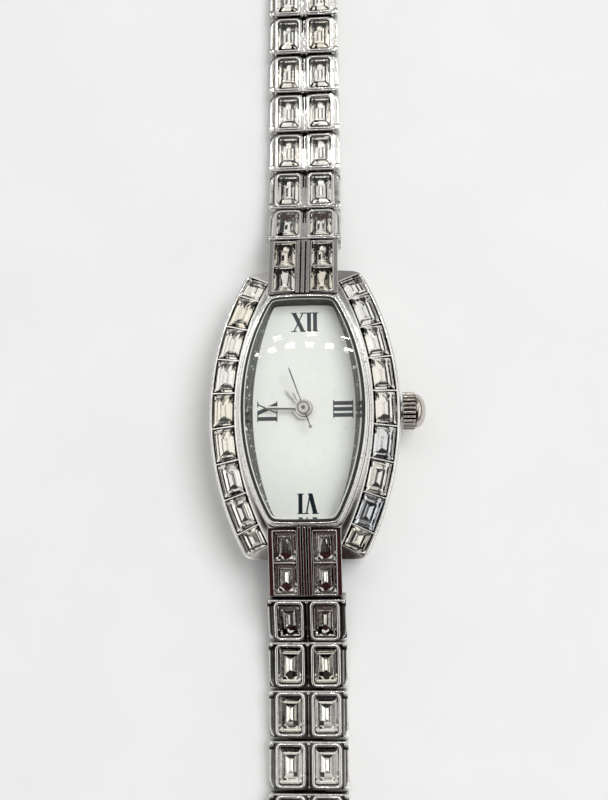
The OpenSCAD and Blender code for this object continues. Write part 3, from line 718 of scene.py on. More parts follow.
# %% [markdown]
# ## Links
# A link is a slab with two raised settings, a groove between them and a low band at each side. On
# the real bracelet round wires lie on it: a rim round each setting, a wire along each side, a seam
# in the middle and a bar across the inner end, and there are three small knobs. Such wires repeat
# on every link, lug and shoulder, so one tree makes them all, from paths marked with a thickness.

# %% A tree for wires and knobs
WIRE_SIDES = 12


def join(tree, *parts):
    """Joins pieces of geometry, linked in this order."""
    node = tree.nodes.new("GeometryNodeJoinGeometry")
    for part in parts:
        feed(tree, node, part)
    return node.outputs[0]


wirework, given, result = geometry_tree("wirework", Paths="Object", Sides=WIRE_SIDES, Metal="Material")
drawn = place(wirework, "GeometryNodeObjectInfo", given["Paths"], output="Geometry")
thick = read_attribute(wirework, "thick", "FLOAT")
curves = place(wirework, "GeometryNodeMeshToCurve", Mesh=drawn)
section = place(wirework, "GeometryNodeCurvePrimitiveCircle", Resolution=given["Sides"], Radius=MM)
round_wire = {"Profile_Curve": section, "Scale": thick, "Fill_Caps": True}
wires = place(wirework, "GeometryNodeCurveToMesh", Curve=curves, **round_wire)
joined_to = place(wirework, "GeometryNodeInputMeshVertexNeighbors", output="Vertex Count")
alone = place(wirework, "FunctionNodeCompare", None, None, joined_to, data_type="INT", operation="EQUAL")
half = chain(wirework, given["Sides"], ("DIVIDE", 2.0))
ball = place(wirework, "GeometryNodeMeshUVSphere", Segments=given["Sides"], Rings=half, Radius=MM)
at_ends = {"Points": drawn, "Selection": alone, "Scale": thick}
knobs = place(wirework, "GeometryNodeInstanceOnPoints", Instance=ball, **at_ends)
real = place(wirework, "GeometryNodeRealizeInstances", join(wirework, wires, knobs))
both = join(wirework, given["Geometry"], place(wirework, "GeometryNodeSetShadeSmooth", real))
feed(wirework, result, place(wirework, "GeometryNodeSetMaterial", Geometry=both, Material=given["Metal"]))
print("tree:", wirework.name, "with", len(wirework.nodes), "nodes")

# %% [markdown]
# ## Paths of a link's wires
# A path is a list of points, whether it is closed, and the radius of its wire. A lone point becomes
# a knob. All paths are drawn in the link's own frame, where Y runs outward and Z up.

# %% Paths for the wires
END_REACH, LINK_GAP = 0.9, 0.2
LINK_START, LINK_END = END_REACH + LINK_GAP, PITCH + END_REACH
LINK_MID = (LINK_START + LINK_END) / 2
LINK_W, LINK_UP = 8, 1.4
RIM_W, RIM_L, RIM_CORNER, RIM_WIRE, CUP_X = 3.2, 4.54, 0.45, 0.17, 1.82
SIDE_WIRE, SIDE_Z, SIDE_START = 0.12, 0.55, 0.5
SIDE_BEND = [(0, 1.2), (0.04, 0.8), (0.16, 0.45), (0.36, 0.22)]  # how far in, how far from the end
SEAM_WIRE, SEAM_Z, BAR_WIRE = 0.1, 0.7, 0.12
KNOB_IN, SIDE_KNOB, SIDE_KNOB_Z, MIDDLE_KNOB, MIDDLE_KNOB_Z = 0.3, 0.26, 0.98, 0.22, 1.08


def rounded_loop(x, y, z, half_x, half_y, radius, steps=5):
    """A closed rounded rectangle as points."""
    points = []
    for k, (sx, sy) in enumerate(((1, 1), (-1, 1), (-1, -1), (1, -1))):
        for step in range(steps + 1):
            t = math.pi / 2 * (k + step / steps)
            cx, cy = x + sx * (half_x - radius), y + sy * (half_y - radius)
            points.append((cx + radius * math.cos(t), cy + radius * math.sin(t), z))
    return points


def add_wirework(obj, frames):
    """Runs the tree on obj. frames is a list of frames, each with its paths."""
    verts, edges, thick = [], [], []
    for m, paths in frames:
        for points, closed, radius in paths:
            first = len(verts)
            verts += [(m @ Vector(p)) * MM for p in points]
            thick += [radius] * len(points)
            edges += [(first + k, first + k + 1) for k in range(len(points) - 1)]
            if closed:
                edges.append((len(verts) - 1, first))
    mesh = bpy.data.meshes.new("paths")
    mesh.from_pydata(verts, edges, [])
    mesh.attributes.new("thick", "FLOAT", "POINT").data.foreach_set("value", thick)
    paths = add_object("paths", mesh)
    grow(obj, wirework, Paths=paths, Sides=WIRE_SIDES, Metal=silver)
    bpy.data.objects.remove(paths)


LINK_WIRES = []
half_x, half_y = RIM_W / 2 - 0.25, RIM_L / 2 - 0.25
side_x, knob_y = LINK_W / 2 - SIDE_WIRE, LINK_START + KNOB_IN
for sx in (-1, 1):
    rim = rounded_loop(sx * CUP_X, LINK_MID, LINK_UP - RIM_WIRE, half_x, half_y, RIM_CORNER)
    bend = [(side_x - inward, LINK_END - back) for inward, back in SIDE_BEND]
    run = [(sx * x, y, SIDE_Z) for x, y in [(side_x, LINK_START + SIDE_START), *bend]]
    knob = (sx * (LINK_W / 2 - 0.27), knob_y, SIDE_KNOB_Z)
    LINK_WIRES += [(rim, True, RIM_WIRE), (run, False, SIDE_WIRE), ([knob], False, SIDE_KNOB)]
seam = [(0, LINK_START + 0.4, SEAM_Z), (0, LINK_END - 0.2, SEAM_Z)]
bar_x, bar_y, bar_z = LINK_W / 2 - 0.3, LINK_START + 0.14, LINK_UP - 0.2
LINK_WIRES += [
    (seam, False, SEAM_WIRE),
    ([(0, knob_y, MIDDLE_KNOB_Z)], False, MIDDLE_KNOB),
    ([(-bar_x, bar_y, bar_z), (bar_x, bar_y, bar_z)], False, BAR_WIRE),
]
print("wires and knobs on a link:", len(LINK_WIRES))

# %% [markdown]
# ## Cups and crevices
# Under each stone the real setting is hollow, so the flat pocket floor of the CAD link sinks into a
# tapered cup. Its rims and side bands come down a little, to make room for the wires. Cups and
# grooves are marked for painted shade.

# %% Cups under the stones and room for the wires
POCKET_Z = 0.95
CUP_DEPTH, CUP_NARROW = 0.5, 0.3
BAND_UP, BAND_FALL, RIM_FALL = 0.75, 0.42, 0.2


def rise_of(to_local):
    """The direction in which a frame's own Z points."""
    return (to_local.to_3x3().inverted() @ Vector((0, 0, 1))).normalized()


def lower_rims(bm, to_local):
    """Cuts a link along its outer rims, and lowers its rims and side bands. to_local is in mm."""
    rise = rise_of(to_local)
    for sx in (-1, 1):
        everything = bm.verts[:] + bm.edges[:] + bm.faces[:]
        cut = (sx * (CUP_X + RIM_W / 2) * MM, 0, 0)
        bmesh.ops.bisect_plane(bm, geom=everything, dist=0.002 * MM, plane_co=cut, plane_no=(1, 0, 0))
    for v in bm.verts:
        height = (to_local @ (v.co / MM)).z
        if height > LINK_UP - 0.08:
            v.co -= rise * RIM_FALL * MM
        elif abs(height - BAND_UP) < 0.02 and abs(v.co.x / MM) > LINK_W / 2 - 0.1:
            v.co -= rise * BAND_FALL * MM


def sink_cups(bm, to_local):
    """Sinks the pocket floors of a link or lug into tapered cups."""
    rise, turn = rise_of(to_local), to_local.to_3x3()
    floors = [
        f
        for f in bm.faces
        if (turn @ f.normal).z > 0.95
        and abs((to_local @ (f.calc_center_median() / MM)).z - POCKET_Z) < 0.03
        and f.calc_area() > 2 * MM * MM
    ]
    for floor_face in floors:
        extruded = bmesh.ops.extrude_discrete_faces(bm, faces=[floor_face])["faces"][0]
        middle = extruded.calc_center_median()
        for v in extruded.verts:
            v.co = middle + (v.co - middle) * CUP_NARROW - rise * CUP_DEPTH * MM


def paint_shade(obj, measure):
    """Marks how much painted shade each point gets, from 0 to 1. measure takes the point in mm."""
    marks = obj.data.attributes.new("painted_shade", "FLOAT", "POINT")
    for v in obj.data.vertices:
        marks.data[v.index].value = float(measure(v.co / MM))


def between(value, none, full):
    """0 at the first level, 1 at the second, and even in between."""
    return min(max((value - none) / (full - none), 0.0), 1.0)


print("cups:", CUP_DEPTH, "mm deep")

# %% [markdown]
# ## Dressing the links
# Every edge that a finger would feel is rounded, but not those of the hinge, which have to keep
# their fit. The first seven upper and five lower links carry two stones each.

# %% Make the links and set their stones
LINK_STONE_W, LINK_STONE_L = 2.26, 3.36
GIRDLE_UP = 0.25
EDGE_ROUND = 0.06
SLOT_ROOF, SLOT_IN, TONGUE_HALF, NEAR = 0.8, 0.85, 1.55, 0.02
CUPS_HALF_W, CUPS_HALF_L, SMALL_EDGE = 3.2, 1.9, 0.3
SHADE_START_Z, DARK_Z, LOW_Z, LIGHT_PAINTED_SHADE = 1.3, 1.18, 0.3, 0.15
SET_LINKS = {"upper": 7, "lower": 5}
SEED_STEPS = {"upper": 3, "lower": 5}


def link_edges(to_local):
    """Which edges of a link are rounded: all but those of its hinge and pin. to_local is in mm."""

    def wanted(edge):
        a, b = (to_local @ (v.co / MM) for v in edge.verts)
        middle = (a + b) / 2
        in_slot = abs(middle.x) < TONGUE_HALF + NEAR and middle.z < SLOT_ROOF + NEAR
        in_slot = in_slot and (middle.y > PITCH - SLOT_IN - NEAR or middle.y < LINK_START + 0.05)
        small = (a - b).length < SMALL_EDGE and middle.z < 0.5
        in_cup = LOW_Z < middle.z < POCKET_Z + NEAR and abs(middle.x) < CUPS_HALF_W
        return not in_slot and not small and not (in_cup and abs(middle.y - LINK_MID) < CUPS_HALF_L)

    return wanted


def link_painted_shade(p, side):
    """Painted shade: cups are dark; the groove and the side bands are dark on the lower links only."""
    from_cup = abs(abs(p.x) - CUP_X) - RIM_W / 2
    if side == "upper" and (from_cup > -0.1 or p.z < LOW_Z):
        return LIGHT_PAINTED_SHADE
    return between(p.z, SHADE_START_Z, DARK_Z) * (abs(p.x) < LINK_W / 2 - SIDE_WIRE)


def make_link(side, i):
    """One link with its wires, and its two stones if it is a set one."""
    name, m = f"{side}_link_{i}", link_frame(side, i)
    to_local = m.inverted()

    def change(bm):
        lower_rims(bm, to_local)
        sink_cups(bm, to_local)

    obj = even_normals(rounded_copy(name, f"{name}_metal", EDGE_ROUND, link_edges(to_local), change))
    # Painted shade in the cups, and on the lower links in the groove and side bands.
    paint_shade(obj, lambda p: link_painted_shade(to_local @ p, side))
    add_wirework(obj, [(m, LINK_WIRES)])
    hand_in(obj, name, "polished_silver", name)
    if i <= SET_LINKS[side]:
        up = Matrix.Translation((0, 0, POCKET_Z + GIRDLE_UP))
        places = [m @ Matrix.Translation((sx * CUP_X, LINK_MID, 0)) @ up @ FLIPS[side] for sx in (-1, 1)]
        seats = [(spot, LINK_STONE_W, LINK_STONE_L) for spot in places]
        stones = f"{side}_stones_{i}"
        set_stones(f"{stones}_cut", seats, name, stones, SEED + i * SEED_STEPS[side])
    return obj


for i in range(1, LINKS + 1):
    made = [make_link(side, i) for side in ("upper", "lower")]
print("links:", 2 * LINKS, "with", len(made[0].data.polygons), "faces in the last upper one")

# %% [markdown]
# ## Lugs
# Each end of the case has a sloping lug plate with four stones and three fine ridges between them.
# It is one CAD node for both ends, so its cups are sunk in both frames. A thin wire runs round each
# stone's seat.

# %% Make the lugs
LUG_STONE_X, LUG_SEAT_W, LUG_SEAT_L = 2.0, 2.25, 3.2
LUG_FIRST, LUG_STONE_GAP = 0.38, 0.15
LUG_WIRES = {"upper": 0.075, "lower": 0.05}
LUG_ROUND, LUG_CUPS_HALF, LUG_DARK_HALF = 0.045, 3.3, 3.5
RIDGES_HALF, RIDGES_SHADE_START = 0.9, {"upper": 1.62, "lower": 1.72}
LUG_ROWS = [END_REACH - LUG_FIRST - LUG_SEAT_L / 2 - row * (LUG_SEAT_L + LUG_STONE_GAP) for row in (0, 1)]


def lug_wires(radius):
    """A thin wire round each stone's seat."""
    half_x, half_y = LUG_SEAT_W / 2 + 0.07, (LUG_SEAT_L + LUG_STONE_GAP) / 2
    seats = [(sx * LUG_STONE_X, y, LINK_UP - 0.01) for y in LUG_ROWS for sx in (-1, 1)]
    return [(rounded_loop(*seat, half_x, half_y, 0.12, 3), True, radius) for seat in seats]


def lug_local(point):
    """Which lug a point in mm is on, and the point in that lug's own frame."""
    side = "upper" if point.y > 0 else "lower"
    return side, lug_frame(side).inverted() @ point


def lug_change(bm):
    """Sinks the cups of both lugs."""
    for side in ("upper", "lower"):
        sink_cups(bm, lug_frame(side).inverted())


def lug_edge(edge):
    """Leaves out the hinge and the insides of the cups."""
    _, middle = lug_local((edge.verts[0].co + edge.verts[1].co) / 2 / MM)
    in_cup = middle.z < POCKET_Z + 0.03 and abs(middle.x) < LUG_CUPS_HALF
    return not in_cup and edge.calc_length() > 0.2 * MM


def lug_painted_shade(point):
    """Painted shade: the cups and the grooves between the ridges are dark."""
    side, p = lug_local(point)
    if abs(p.x) < RIDGES_HALF:
        return between(p.z, RIDGES_SHADE_START[side], RIDGES_SHADE_START[side] - 0.14)
    return between(p.z, SHADE_START_Z, 1.0) * (abs(p.x) < LUG_DARK_HALF)


lugs = even_normals(rounded_copy("lugs", "lug_plates", LUG_ROUND, lug_edge, lug_change, clamp=False))
# Painted shade in the lugs' cups and grooves.
paint_shade(lugs, lug_painted_shade)
add_wirework(lugs, [(lug_frame(side), lug_wires(radius)) for side, radius in LUG_WIRES.items()])
hand_in(lugs, "case", "polished_silver", "lugs")
print("lugs:", len(lugs.data.polygons), "faces")

# %% [markdown]
# ## Outlines of the case
# Seen from above, the case, the bezel and the dial are barrels: two long arcs with flat ends and
# clipped corners. One function gives how far such an outline is from a point in a direction, with
# its corners slightly softened, and everything round the dial is swept along it.

# %% Barrel outlines
CASE_W, CASE_L = (2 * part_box("case")[1][axis] / MM for axis in (0, 1))
BEZEL_W, BEZEL_L = (2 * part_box("bezel")[1][axis] / MM for axis in (0, 1))
SIDE_R, END_FLAT = 32.0, 11.0
BEZEL_R, BEZEL_FLAT = 24.5, 6.2
DIAL_SIDE, DIAL_END, DIAL_R, DIAL_FLAT = 1.5, 1.1, 28.5, 6.2
SOFTNESS = 70
AROUND_STEPS, FINE_STEPS = 288, 2880


def barrel(width, length, side_r, flat):
    """A barrel outline: width, length, radius of the sides and radius of the clipped corners."""
    return width, length, side_r, math.hypot(flat, length) / 2


CASE = barrel(CASE_W, CASE_L, SIDE_R, END_FLAT)
BEZEL = barrel(BEZEL_W, BEZEL_L, BEZEL_R, BEZEL_FLAT)
DIAL = barrel(BEZEL_W - 2 * DIAL_SIDE, BEZEL_L - 2 * DIAL_END, DIAL_R, DIAL_FLAT)


def to_circle(origin, direction, centre_x, radius):
    """Distance from a point inside a circle to it along a direction."""
    px, py = origin[0] - centre_x, origin[1]
    along = px * direction[0] + py * direction[1]
    return -along + math.sqrt(max(along * along - px * px - py * py + radius * radius, 0))


def reach(shape, inset, direction, origin=(0.0, 0.0)):
    """Distance from an inner point to a barrel outline drawn in by inset."""
    width, length, side_r, corner_r = shape
    gaps = [
        to_circle(origin, direction, width / 2 - side_r, side_r - inset),
        to_circle(origin, direction, side_r - width / 2, side_r - inset),
        to_circle(origin, direction, 0, corner_r - inset),
    ]
    if abs(direction[1]) > 1e-6:
        gaps.append((math.copysign(length / 2 - inset, direction[1]) - origin[1]) / direction[1])
    gaps = [max(g, 1e-3) for g in gaps]
    least = min(gaps)
    return least * sum((least / g) ** SOFTNESS for g in gaps) ** (-1 / SOFTNESS)


def even_directions(shape):
    """Directions from the middle whose points lie evenly along an outline."""
    turns = [2 * math.pi * k / FINE_STEPS for k in range(FINE_STEPS)]
    headings = [(math.cos(t), math.sin(t)) for t in turns]
    points = [Vector(heading) * reach(shape, 0, heading) for heading in headings]
    run = [0.0]
    for a, b in zip(points, points[1:] + points[:1]):
        run.append(run[-1] + (b - a).length)
    picked, k = [], 0
    for step in range(AROUND_STEPS):
        while run[k + 1] < run[-1] * step / AROUND_STEPS:
            k += 1
        picked.append(headings[k % FINE_STEPS])
    return picked


AROUND = even_directions(BEZEL)
print("case", round(CASE_W, 2), "x", round(CASE_L, 2), "mm, dial opening", [round(v, 2) for v in DIAL[:2]])

# %% [markdown]
# ## The case
# Lines that run straight out from the centre of each side arc make the net of the case's top. The
# channel for the stones is then simply a dip between two radii, with a small rounding at each lip.

# %% Profile of the shoulder
CASE_DOME = (7.8, 50.0, 24.0)  # top, radius along, radius across
SHELF_Z = 5.9
SEAT_OUT, SEAT_W = 0.44, 2.2
CHANNEL_OUT = SIDE_R - 0.4
CHANNEL_IN = SIDE_R - SEAT_OUT - SEAT_W - 0.14
CHANNEL_DEEP = 1.15
LIP_R, RIM_R, SEAM_R, SEAM_W, SEAM_DEEP = 0.15, 0.22, 0.1, 0.07, 0.35
STEP_Z, STEP_IN, BACK_T, WALL_IN = 1.6, 0.35, 0.8, 2.35
FOOT_STEPS = [(0, 0.1), (0.03, 0.03), (0.1, 0), (STEP_IN, -0.02)]  # how far in, how far up


def dome(x, y, top, long_r, cross_r):
    """Height of a surface that is domed both ways."""
    return top - long_r + math.sqrt((long_r - cross_r + math.sqrt(cross_r**2 - x * x)) ** 2 - y * y)


def quarter_round(radius, steps=4):
    """Points of a rounded lip as how far in and how far down, from the wall to the top."""
    turns = [math.pi / 2 * k / steps for k in range(steps + 1)]
    return [(radius * (1 - math.cos(t)), radius * (1 - math.sin(t))) for t in turns]


def shoulder_row(angle, dip):
    """One cross-section of the case at an angle from the side arc's centre. dip runs 0 to 1."""
    centre = (CASE_W / 2 - SIDE_R, 0.0)
    heading = (math.cos(angle), math.sin(angle))
    middle = -centre[0] / heading[0]
    start = (centre[0] + middle * heading[0], middle * heading[1])
    outer = middle + (reach(CASE, 0, heading, start) if abs(start[1]) < CASE_L / 2 else 0)
    beside = abs(start[1]) < BEZEL_L / 2 - 0.05
    inner = middle + (reach(BEZEL, 0.05, heading, start) if beside else 0)

    def point(radius, drop, level=None):
        radius = min(max(radius, inner), outer)
        x, y = max(centre[0] + radius * heading[0], 0.0), radius * heading[1]
        return x, y, dome(x, y, *CASE_DOME) - drop if level is None else level

    seam = inner + SEAM_W * beside
    row = [point(inner, 0, SHELF_Z - 1.5), point(inner, SEAM_DEEP * beside), point(seam, SEAM_DEEP * beside)]
    row += [point(seam + into, down * beside) for into, down in quarter_round(SEAM_R, 3)]
    row += [point(CHANNEL_IN - into, dip * down) for into, down in reversed(quarter_round(LIP_R))]
    row += [point(CHANNEL_IN, dip * CHANNEL_DEEP), point(CHANNEL_OUT, dip * CHANNEL_DEEP)]
    row += [point(CHANNEL_OUT + into, dip * down) for into, down in quarter_round(LIP_R)]
    row += [point(outer - into, down) for into, down in reversed(quarter_round(RIM_R))]
    row += [point(outer - into, 0, STEP_Z + up) for into, up in FOOT_STEPS]
    return row + [point(outer - into, 0, BACK_T) for into in (STEP_IN, WALL_IN)]


print("a cross-section:", len(shoulder_row(0, 1)), "points")

# %% [markdown]
# ## Stones and bars of the shoulders
# Nine stones stand in each shoulder, the last at each end shorter. A thin bar lies across the
# channel between each two, as the claw that holds them. Stones, bars and the channel's end all
# follow from the same angles, so they are laid out together before the case is swept.

# %% Lay out the shoulders
LAST_STONE, LAST_STONE_L, FLANK_STONE_L = 4, 2.1, 3.3
STONE_PITCH, LAST_GAP = 3.62, 0.22
STONE_MID = SIDE_R - SEAT_OUT - SEAT_W / 2
STONE_STEP = 2 * math.asin(STONE_PITCH / 2 / STONE_MID)
LAST_ANGLE = 3 * STONE_STEP + 2 * math.asin(((FLANK_STONE_L + LAST_STONE_L) / 2 + LAST_GAP) / 2 / STONE_MID)
CHANNEL_SPAN = LAST_ANGLE + 2 * math.asin(LAST_STONE_L / 4 / STONE_MID) + 0.004
SEPARATOR_R = 0.09


def flank_stone(k):
    """Angle and length of a shoulder's stone, counted from its middle one."""
    if abs(k) == LAST_STONE:
        return math.copysign(LAST_ANGLE, k), LAST_STONE_L
    return k * STONE_STEP, FLANK_STONE_L


def flank_spot(radius, angle):
    """A point over the right shoulder: X, Y and the height of the dome."""
    x, y = CASE_W / 2 - SIDE_R + radius * math.cos(angle), radius * math.sin(angle)
    return x, y, dome(x, y, *CASE_DOME)


def separators():
    """A thin bar across the channel between each two stones."""
    paths = []
    for k in range(-LAST_STONE, LAST_STONE):
        (low, long_low), (high, long_high) = flank_stone(k), flank_stone(k + 1)
        angle = (low + high) / 2 + (long_low - long_high) / 4 / STONE_MID
        ends = [flank_spot(radius, angle) for radius in (CHANNEL_IN - 0.05, CHANNEL_OUT + 0.05)]
        paths += [([(sx * x, y, z - SEPARATOR_R) for x, y, z in ends], False, SEPARATOR_R) for sx in (-1, 1)]
    return paths


print("stones in a shoulder:", 2 * LAST_STONE + 1)


# %% [markdown]
# ## Sweeping the case
# The cross-sections stand closest where the channel ends. One half of the case is swept through
# them from 6 to 12 o'clock, the other is its mirror, and the two merge along the middle.

# %% Sweep the case
CHANNEL_ROWS, END_ROWS = 60, 14
LIP_STEPS = [(0, 1), (0.001, 0.08), (0.3, 0.02), (1, 0)]  # share of the lip's length and of the dip


def case_rows():
    """All cross-sections from the 6 o'clock middle to the 12 o'clock middle on one side."""
    last = math.atan2(CASE_L / 2, SIDE_R - CASE_W / 2)
    half = [(CHANNEL_SPAN * k / CHANNEL_ROWS, 1) for k in range(CHANNEL_ROWS)]
    half += [(CHANNEL_SPAN + LIP_R / SIDE_R * into, dip) for into, dip in LIP_STEPS]
    half += [(CHANNEL_SPAN + (last - CHANNEL_SPAN) * (k / END_ROWS), 0) for k in range(1, END_ROWS + 1)]
    whole = [(-angle, dip) for angle, dip in reversed(half[1:])] + half
    return [shoulder_row(angle, dip) for angle, dip in whole]


def case_painted_shade(point):
    """Painted shade: the stone channels and the seam round the bezel are dark."""
    x, y, z = point
    below = dome(x, y, *CASE_DOME) - z
    radius = math.hypot(abs(x) - CASE_W / 2 + SIDE_R, y)
    channel = CHANNEL_IN - 0.02 < radius < CHANNEL_OUT + 0.02 and below > LIP_R + 0.02
    seam = radius < CHANNEL_IN - LIP_R and below > SEAM_DEEP - 0.05
    return z > SHELF_Z - 2 and (channel or seam)


bm = bmesh.new()
for sign in (1, -1):
    add_grid(bm, [[(sign * x, y, z) for x, y, z in row] for row in case_rows()])
case_body = closed_piece("case_body", bm, 40, merge=0.004, collapse=0.003)
# Painted shade in the stone channels and the seam.
paint_shade(case_body, case_painted_shade)
add_wirework(case_body, [(Matrix.Identity(4), separators())])
hand_in(case_body, "case", "polished_silver", "case")
print("case:", len(case_body.data.polygons), "faces")

# %% [markdown]
# ## Stones of the case
# The nine stones of each shoulder stand square to the domed surface under them. The four of each
# lug stand upright in the lug's own frame.

# %% Set the case's stones
STONE_SINK = 0.16
FLANK_STONE_W = 2.22
LUG_STONE_W, LUG_STONE_L = 2.2, 3.14
MIRROR_X = Matrix.Scale(-1, 4, (1, 0, 0))

seats = []
for k in range(-LAST_STONE, LAST_STONE + 1):
    angle, length = flank_stone(k)
    x, y, z = flank_spot(STONE_MID, angle)
    m = Matrix.Translation((x, y, z))
    m = m @ Matrix.Rotation(-math.asin(y / CASE_DOME[1]), 4, "X")
    m = m @ Matrix.Rotation(math.asin(x / CASE_DOME[2]), 4, "Y")
    m = m @ Matrix.Rotation(angle, 4, "Z") @ Matrix.Translation((0, 0, -STONE_SINK))
    seats += [(m, FLANK_STONE_W, length), (MIRROR_X @ m @ MIRROR_X, FLANK_STONE_W, length)]
for side, flip in FLIPS.items():
    for x, y in [(sx * LUG_STONE_X, y) for sx in (-1, 1) for y in LUG_ROWS]:
        spot = Matrix.Translation((x, y, POCKET_Z + GIRDLE_UP))
        seats.append((lug_frame(side) @ spot @ flip, LUG_STONE_W, LUG_STONE_L))
set_stones("case_stones_cut", seats, "case", "case_stones", SEED)
print("case stones:", len(seats))

# %% [markdown]
# ## The bezel
# The bezel is a round bead standing on a low step. It follows the barrel outline at every height,
# so one section is worked out for each heading and the ring is swept through them.

# %% Sweep the bezel
BEZEL_STEP, BEZEL_WALL, BEZEL_RISE = 0.13, 0.38, 1.2
BEAD_IN, BEAD_R = BEZEL_STEP + BEZEL_WALL, BEZEL_WALL / 2
STEP_DROPS = [(0.02, 0.06), (0.04, 0.02), (0.08, 0), (BEZEL_STEP, 0)]  # how far in, how far down


def ring_point(shape, inset, heading):
    """A point of an outline, in the plane."""
    far = reach(shape, inset, heading)
    return heading[0] * far, heading[1] * far


def bezel_section(heading):
    """The bezel's section at a heading, from its foot outside over the bead to its foot inside."""

    def at(inset, rise, drop):
        x, y = ring_point(BEZEL, inset, heading)
        return x, y, dome(x, y, *CASE_DOME) + rise - drop

    curve = [(1 - math.cos(t), 1 - math.sin(t)) for t in (math.pi * k / 8 for k in range(9))]
    step = [at(inset, BEZEL_RISE / 2, drop) for inset, drop in STEP_DROPS]
    bead = [at(BEZEL_STEP + BEAD_R * into, BEZEL_RISE, BEAD_R * drop) for into, drop in curve]
    feet = [(*ring_point(BEZEL, inset, heading), SHELF_Z) for inset in (0.02, BEAD_IN)]
    return [feet[0], *step, *bead, feet[1]]


bezel_ring = grid_piece("bezel_ring", [bezel_section(h) for h in AROUND])
hand_in(bezel_ring, "case", "polished_silver", "bezel", material=silver)
print("bezel:", len(bezel_ring.data.polygons), "faces")

# %% [markdown]
# ## The dial ring
# Inside the bezel a sloping ring of darker steel with painted glints leads down to the dial. Its
# slope is slightly hollow, and painted shade makes it darkest at 12 and 6 o'clock.

# %% Sweep the dial ring
DIAL_Z, RING_FOOT, RING_TOP_Z = 5.5, 0.12, 7.05
GASKET_T = 0.21
RING_DARK_FROM, RING_DARK_TO = 9.7, 10.5


def dial_ring_section(heading):
    """The sloping ring's section: from the dial up its concave slope and down its back."""
    low = Vector(ring_point(DIAL, 0, heading))
    high = Vector(ring_point(BEZEL, BEAD_IN + GASKET_T, heading))
    back = Vector(ring_point(BEZEL, BEAD_IN + 0.02, heading))
    foot = DIAL_Z + RING_FOOT
    section = [(*low, DIAL_Z), (*low, foot)]
    for t in [k / 6 for k in range(1, 7)]:
        section.append((*low.lerp(high, t), foot + (RING_TOP_Z - foot) * (0.35 * t + 0.65 * t * t)))
    return section + [(*back, RING_TOP_Z), (*back, DIAL_Z)]


dial_ring = grid_piece("dial_ring_slope", [dial_ring_section(h) for h in AROUND], smooth_angle=50)
# Painted shade at 12 and 6 o'clock.
paint_shade(dial_ring, lambda p: 0.9 * between(abs(p.y), RING_DARK_FROM, RING_DARK_TO))
hand_in(dial_ring, "case", "ring_steel", "dial_ring", material=ring_steel)
print("dial ring:", len(dial_ring.data.polygons), "faces")

# %% [markdown]
# ## The glass
# The glass is a real lens: domed above and below, 1.3 mm thick, with a bevelled edge that catches
# the light. A black seal stands between that edge and the bezel's wall.

# %% Grind the glass
GLASS_DOME, GLASS_T = (9.4, 46.0, 22.0), 1.3
GLASS_IN = BEAD_IN + GASKET_T + 0.01
GLASS_RINGS = 26
GLASS_BEVEL = 0.16


def glass_section(heading):
    """The glass from the middle of its top over the bevelled edge to the middle of its underside."""
    edge = math.hypot(*ring_point(BEZEL, GLASS_IN, heading))
    under = [v - GLASS_T for v in GLASS_DOME]
    parts = [k / GLASS_RINGS for k in range(GLASS_RINGS + 1)]

    def at(distance, surface, drop=0.0):
        x, y = heading[0] * distance, heading[1] * distance
        return x, y, dome(x, y, *surface) - drop

    section = [at((edge - GLASS_BEVEL) * part, GLASS_DOME) for part in parts]
    section.append(at(edge, GLASS_DOME, GLASS_BEVEL * 0.8))
    return section + [at(edge * part, under) for part in reversed(parts)]


def gasket_section(heading):
    """The black seal's section, between the bezel's wall and the edge of the glass."""
    outer, inner = ring_point(BEZEL, BEAD_IN, heading), ring_point(BEZEL, BEAD_IN + GASKET_T, heading)
    foot, top = SHELF_Z + 0.1, dome(*inner, *GLASS_DOME) - GLASS_BEVEL - 0.12
    middle = [(a + b) / 2 for a, b in zip(outer, inner)]
    return [(*outer, foot), (*outer, top), (*middle, top + 0.04), (*inner, top), (*inner, foot)]


gasket = grid_piece("glass_seal", [gasket_section(h) for h in AROUND])
hand_in(gasket, "case", "black_rubber", "glass_gasket", material=rubber)
glass = grid_piece("domed_glass", [glass_section(h) for h in AROUND], closed_columns=False, smooth_angle=25)
hand_in(glass, "case", "sapphire_glass", "glass", material=sapphire)
print("glass:", len(glass.data.polygons), "faces")

# %% [markdown]
# ## The printed dial
# The dial is white lacquer with four Roman numerals, all with their feet to the middle. Each is
# built from its strokes: thick stems, thin diagonals and long fine serifs that join the stems.

# %% Strokes of the numerals
THICK, THIN, SERIF, SERIF_OUT = 0.4, 0.14, 0.1, 0.13
BROAD, V_SHIFT = THICK * 1.1, 0.06
NUMERAL_H = 2.05


def bar(x0, x1, y0, y1):
    """An upright rectangle."""
    return [(x0, y0), (x1, y0), (x1, y1), (x0, y1)]


def slant(foot, head, width):
    """A diagonal stroke from its foot to its head."""
    half = width / 2
    return [(foot - half, 0), (foot + half, 0), (head + half, NUMERAL_H), (head - half, NUMERAL_H)]


def serif(x, y, reach_x):
    """A fine bar at the end of a stroke, centred on x."""
    return bar(x - reach_x, x + reach_x, y, y + SERIF)


def letter_x(middle, width):
    """Ten: a broad and a thin diagonal with four serifs."""
    left, right = middle - width / 2, middle + width / 2
    ends = [(left, NUMERAL_H), (right, NUMERAL_H), (left, 0), (right, 0)]
    strokes = [slant(right, left, BROAD), slant(left, right, THIN)]
    return strokes + [serif(x, y - (SERIF if y else 0), 0.3) for x, y in ends]


def letter_v(middle, width):
    """Five: two diagonals that meet at the foot, with two serifs."""
    left, right, foot, top = middle - width / 2, middle + width / 2, middle + V_SHIFT, NUMERAL_H - SERIF
    strokes = [slant(foot, left, BROAD), slant(foot, right, THIN)]
    return strokes + [serif(left, top, 0.32), serif(right, top, 0.24)]


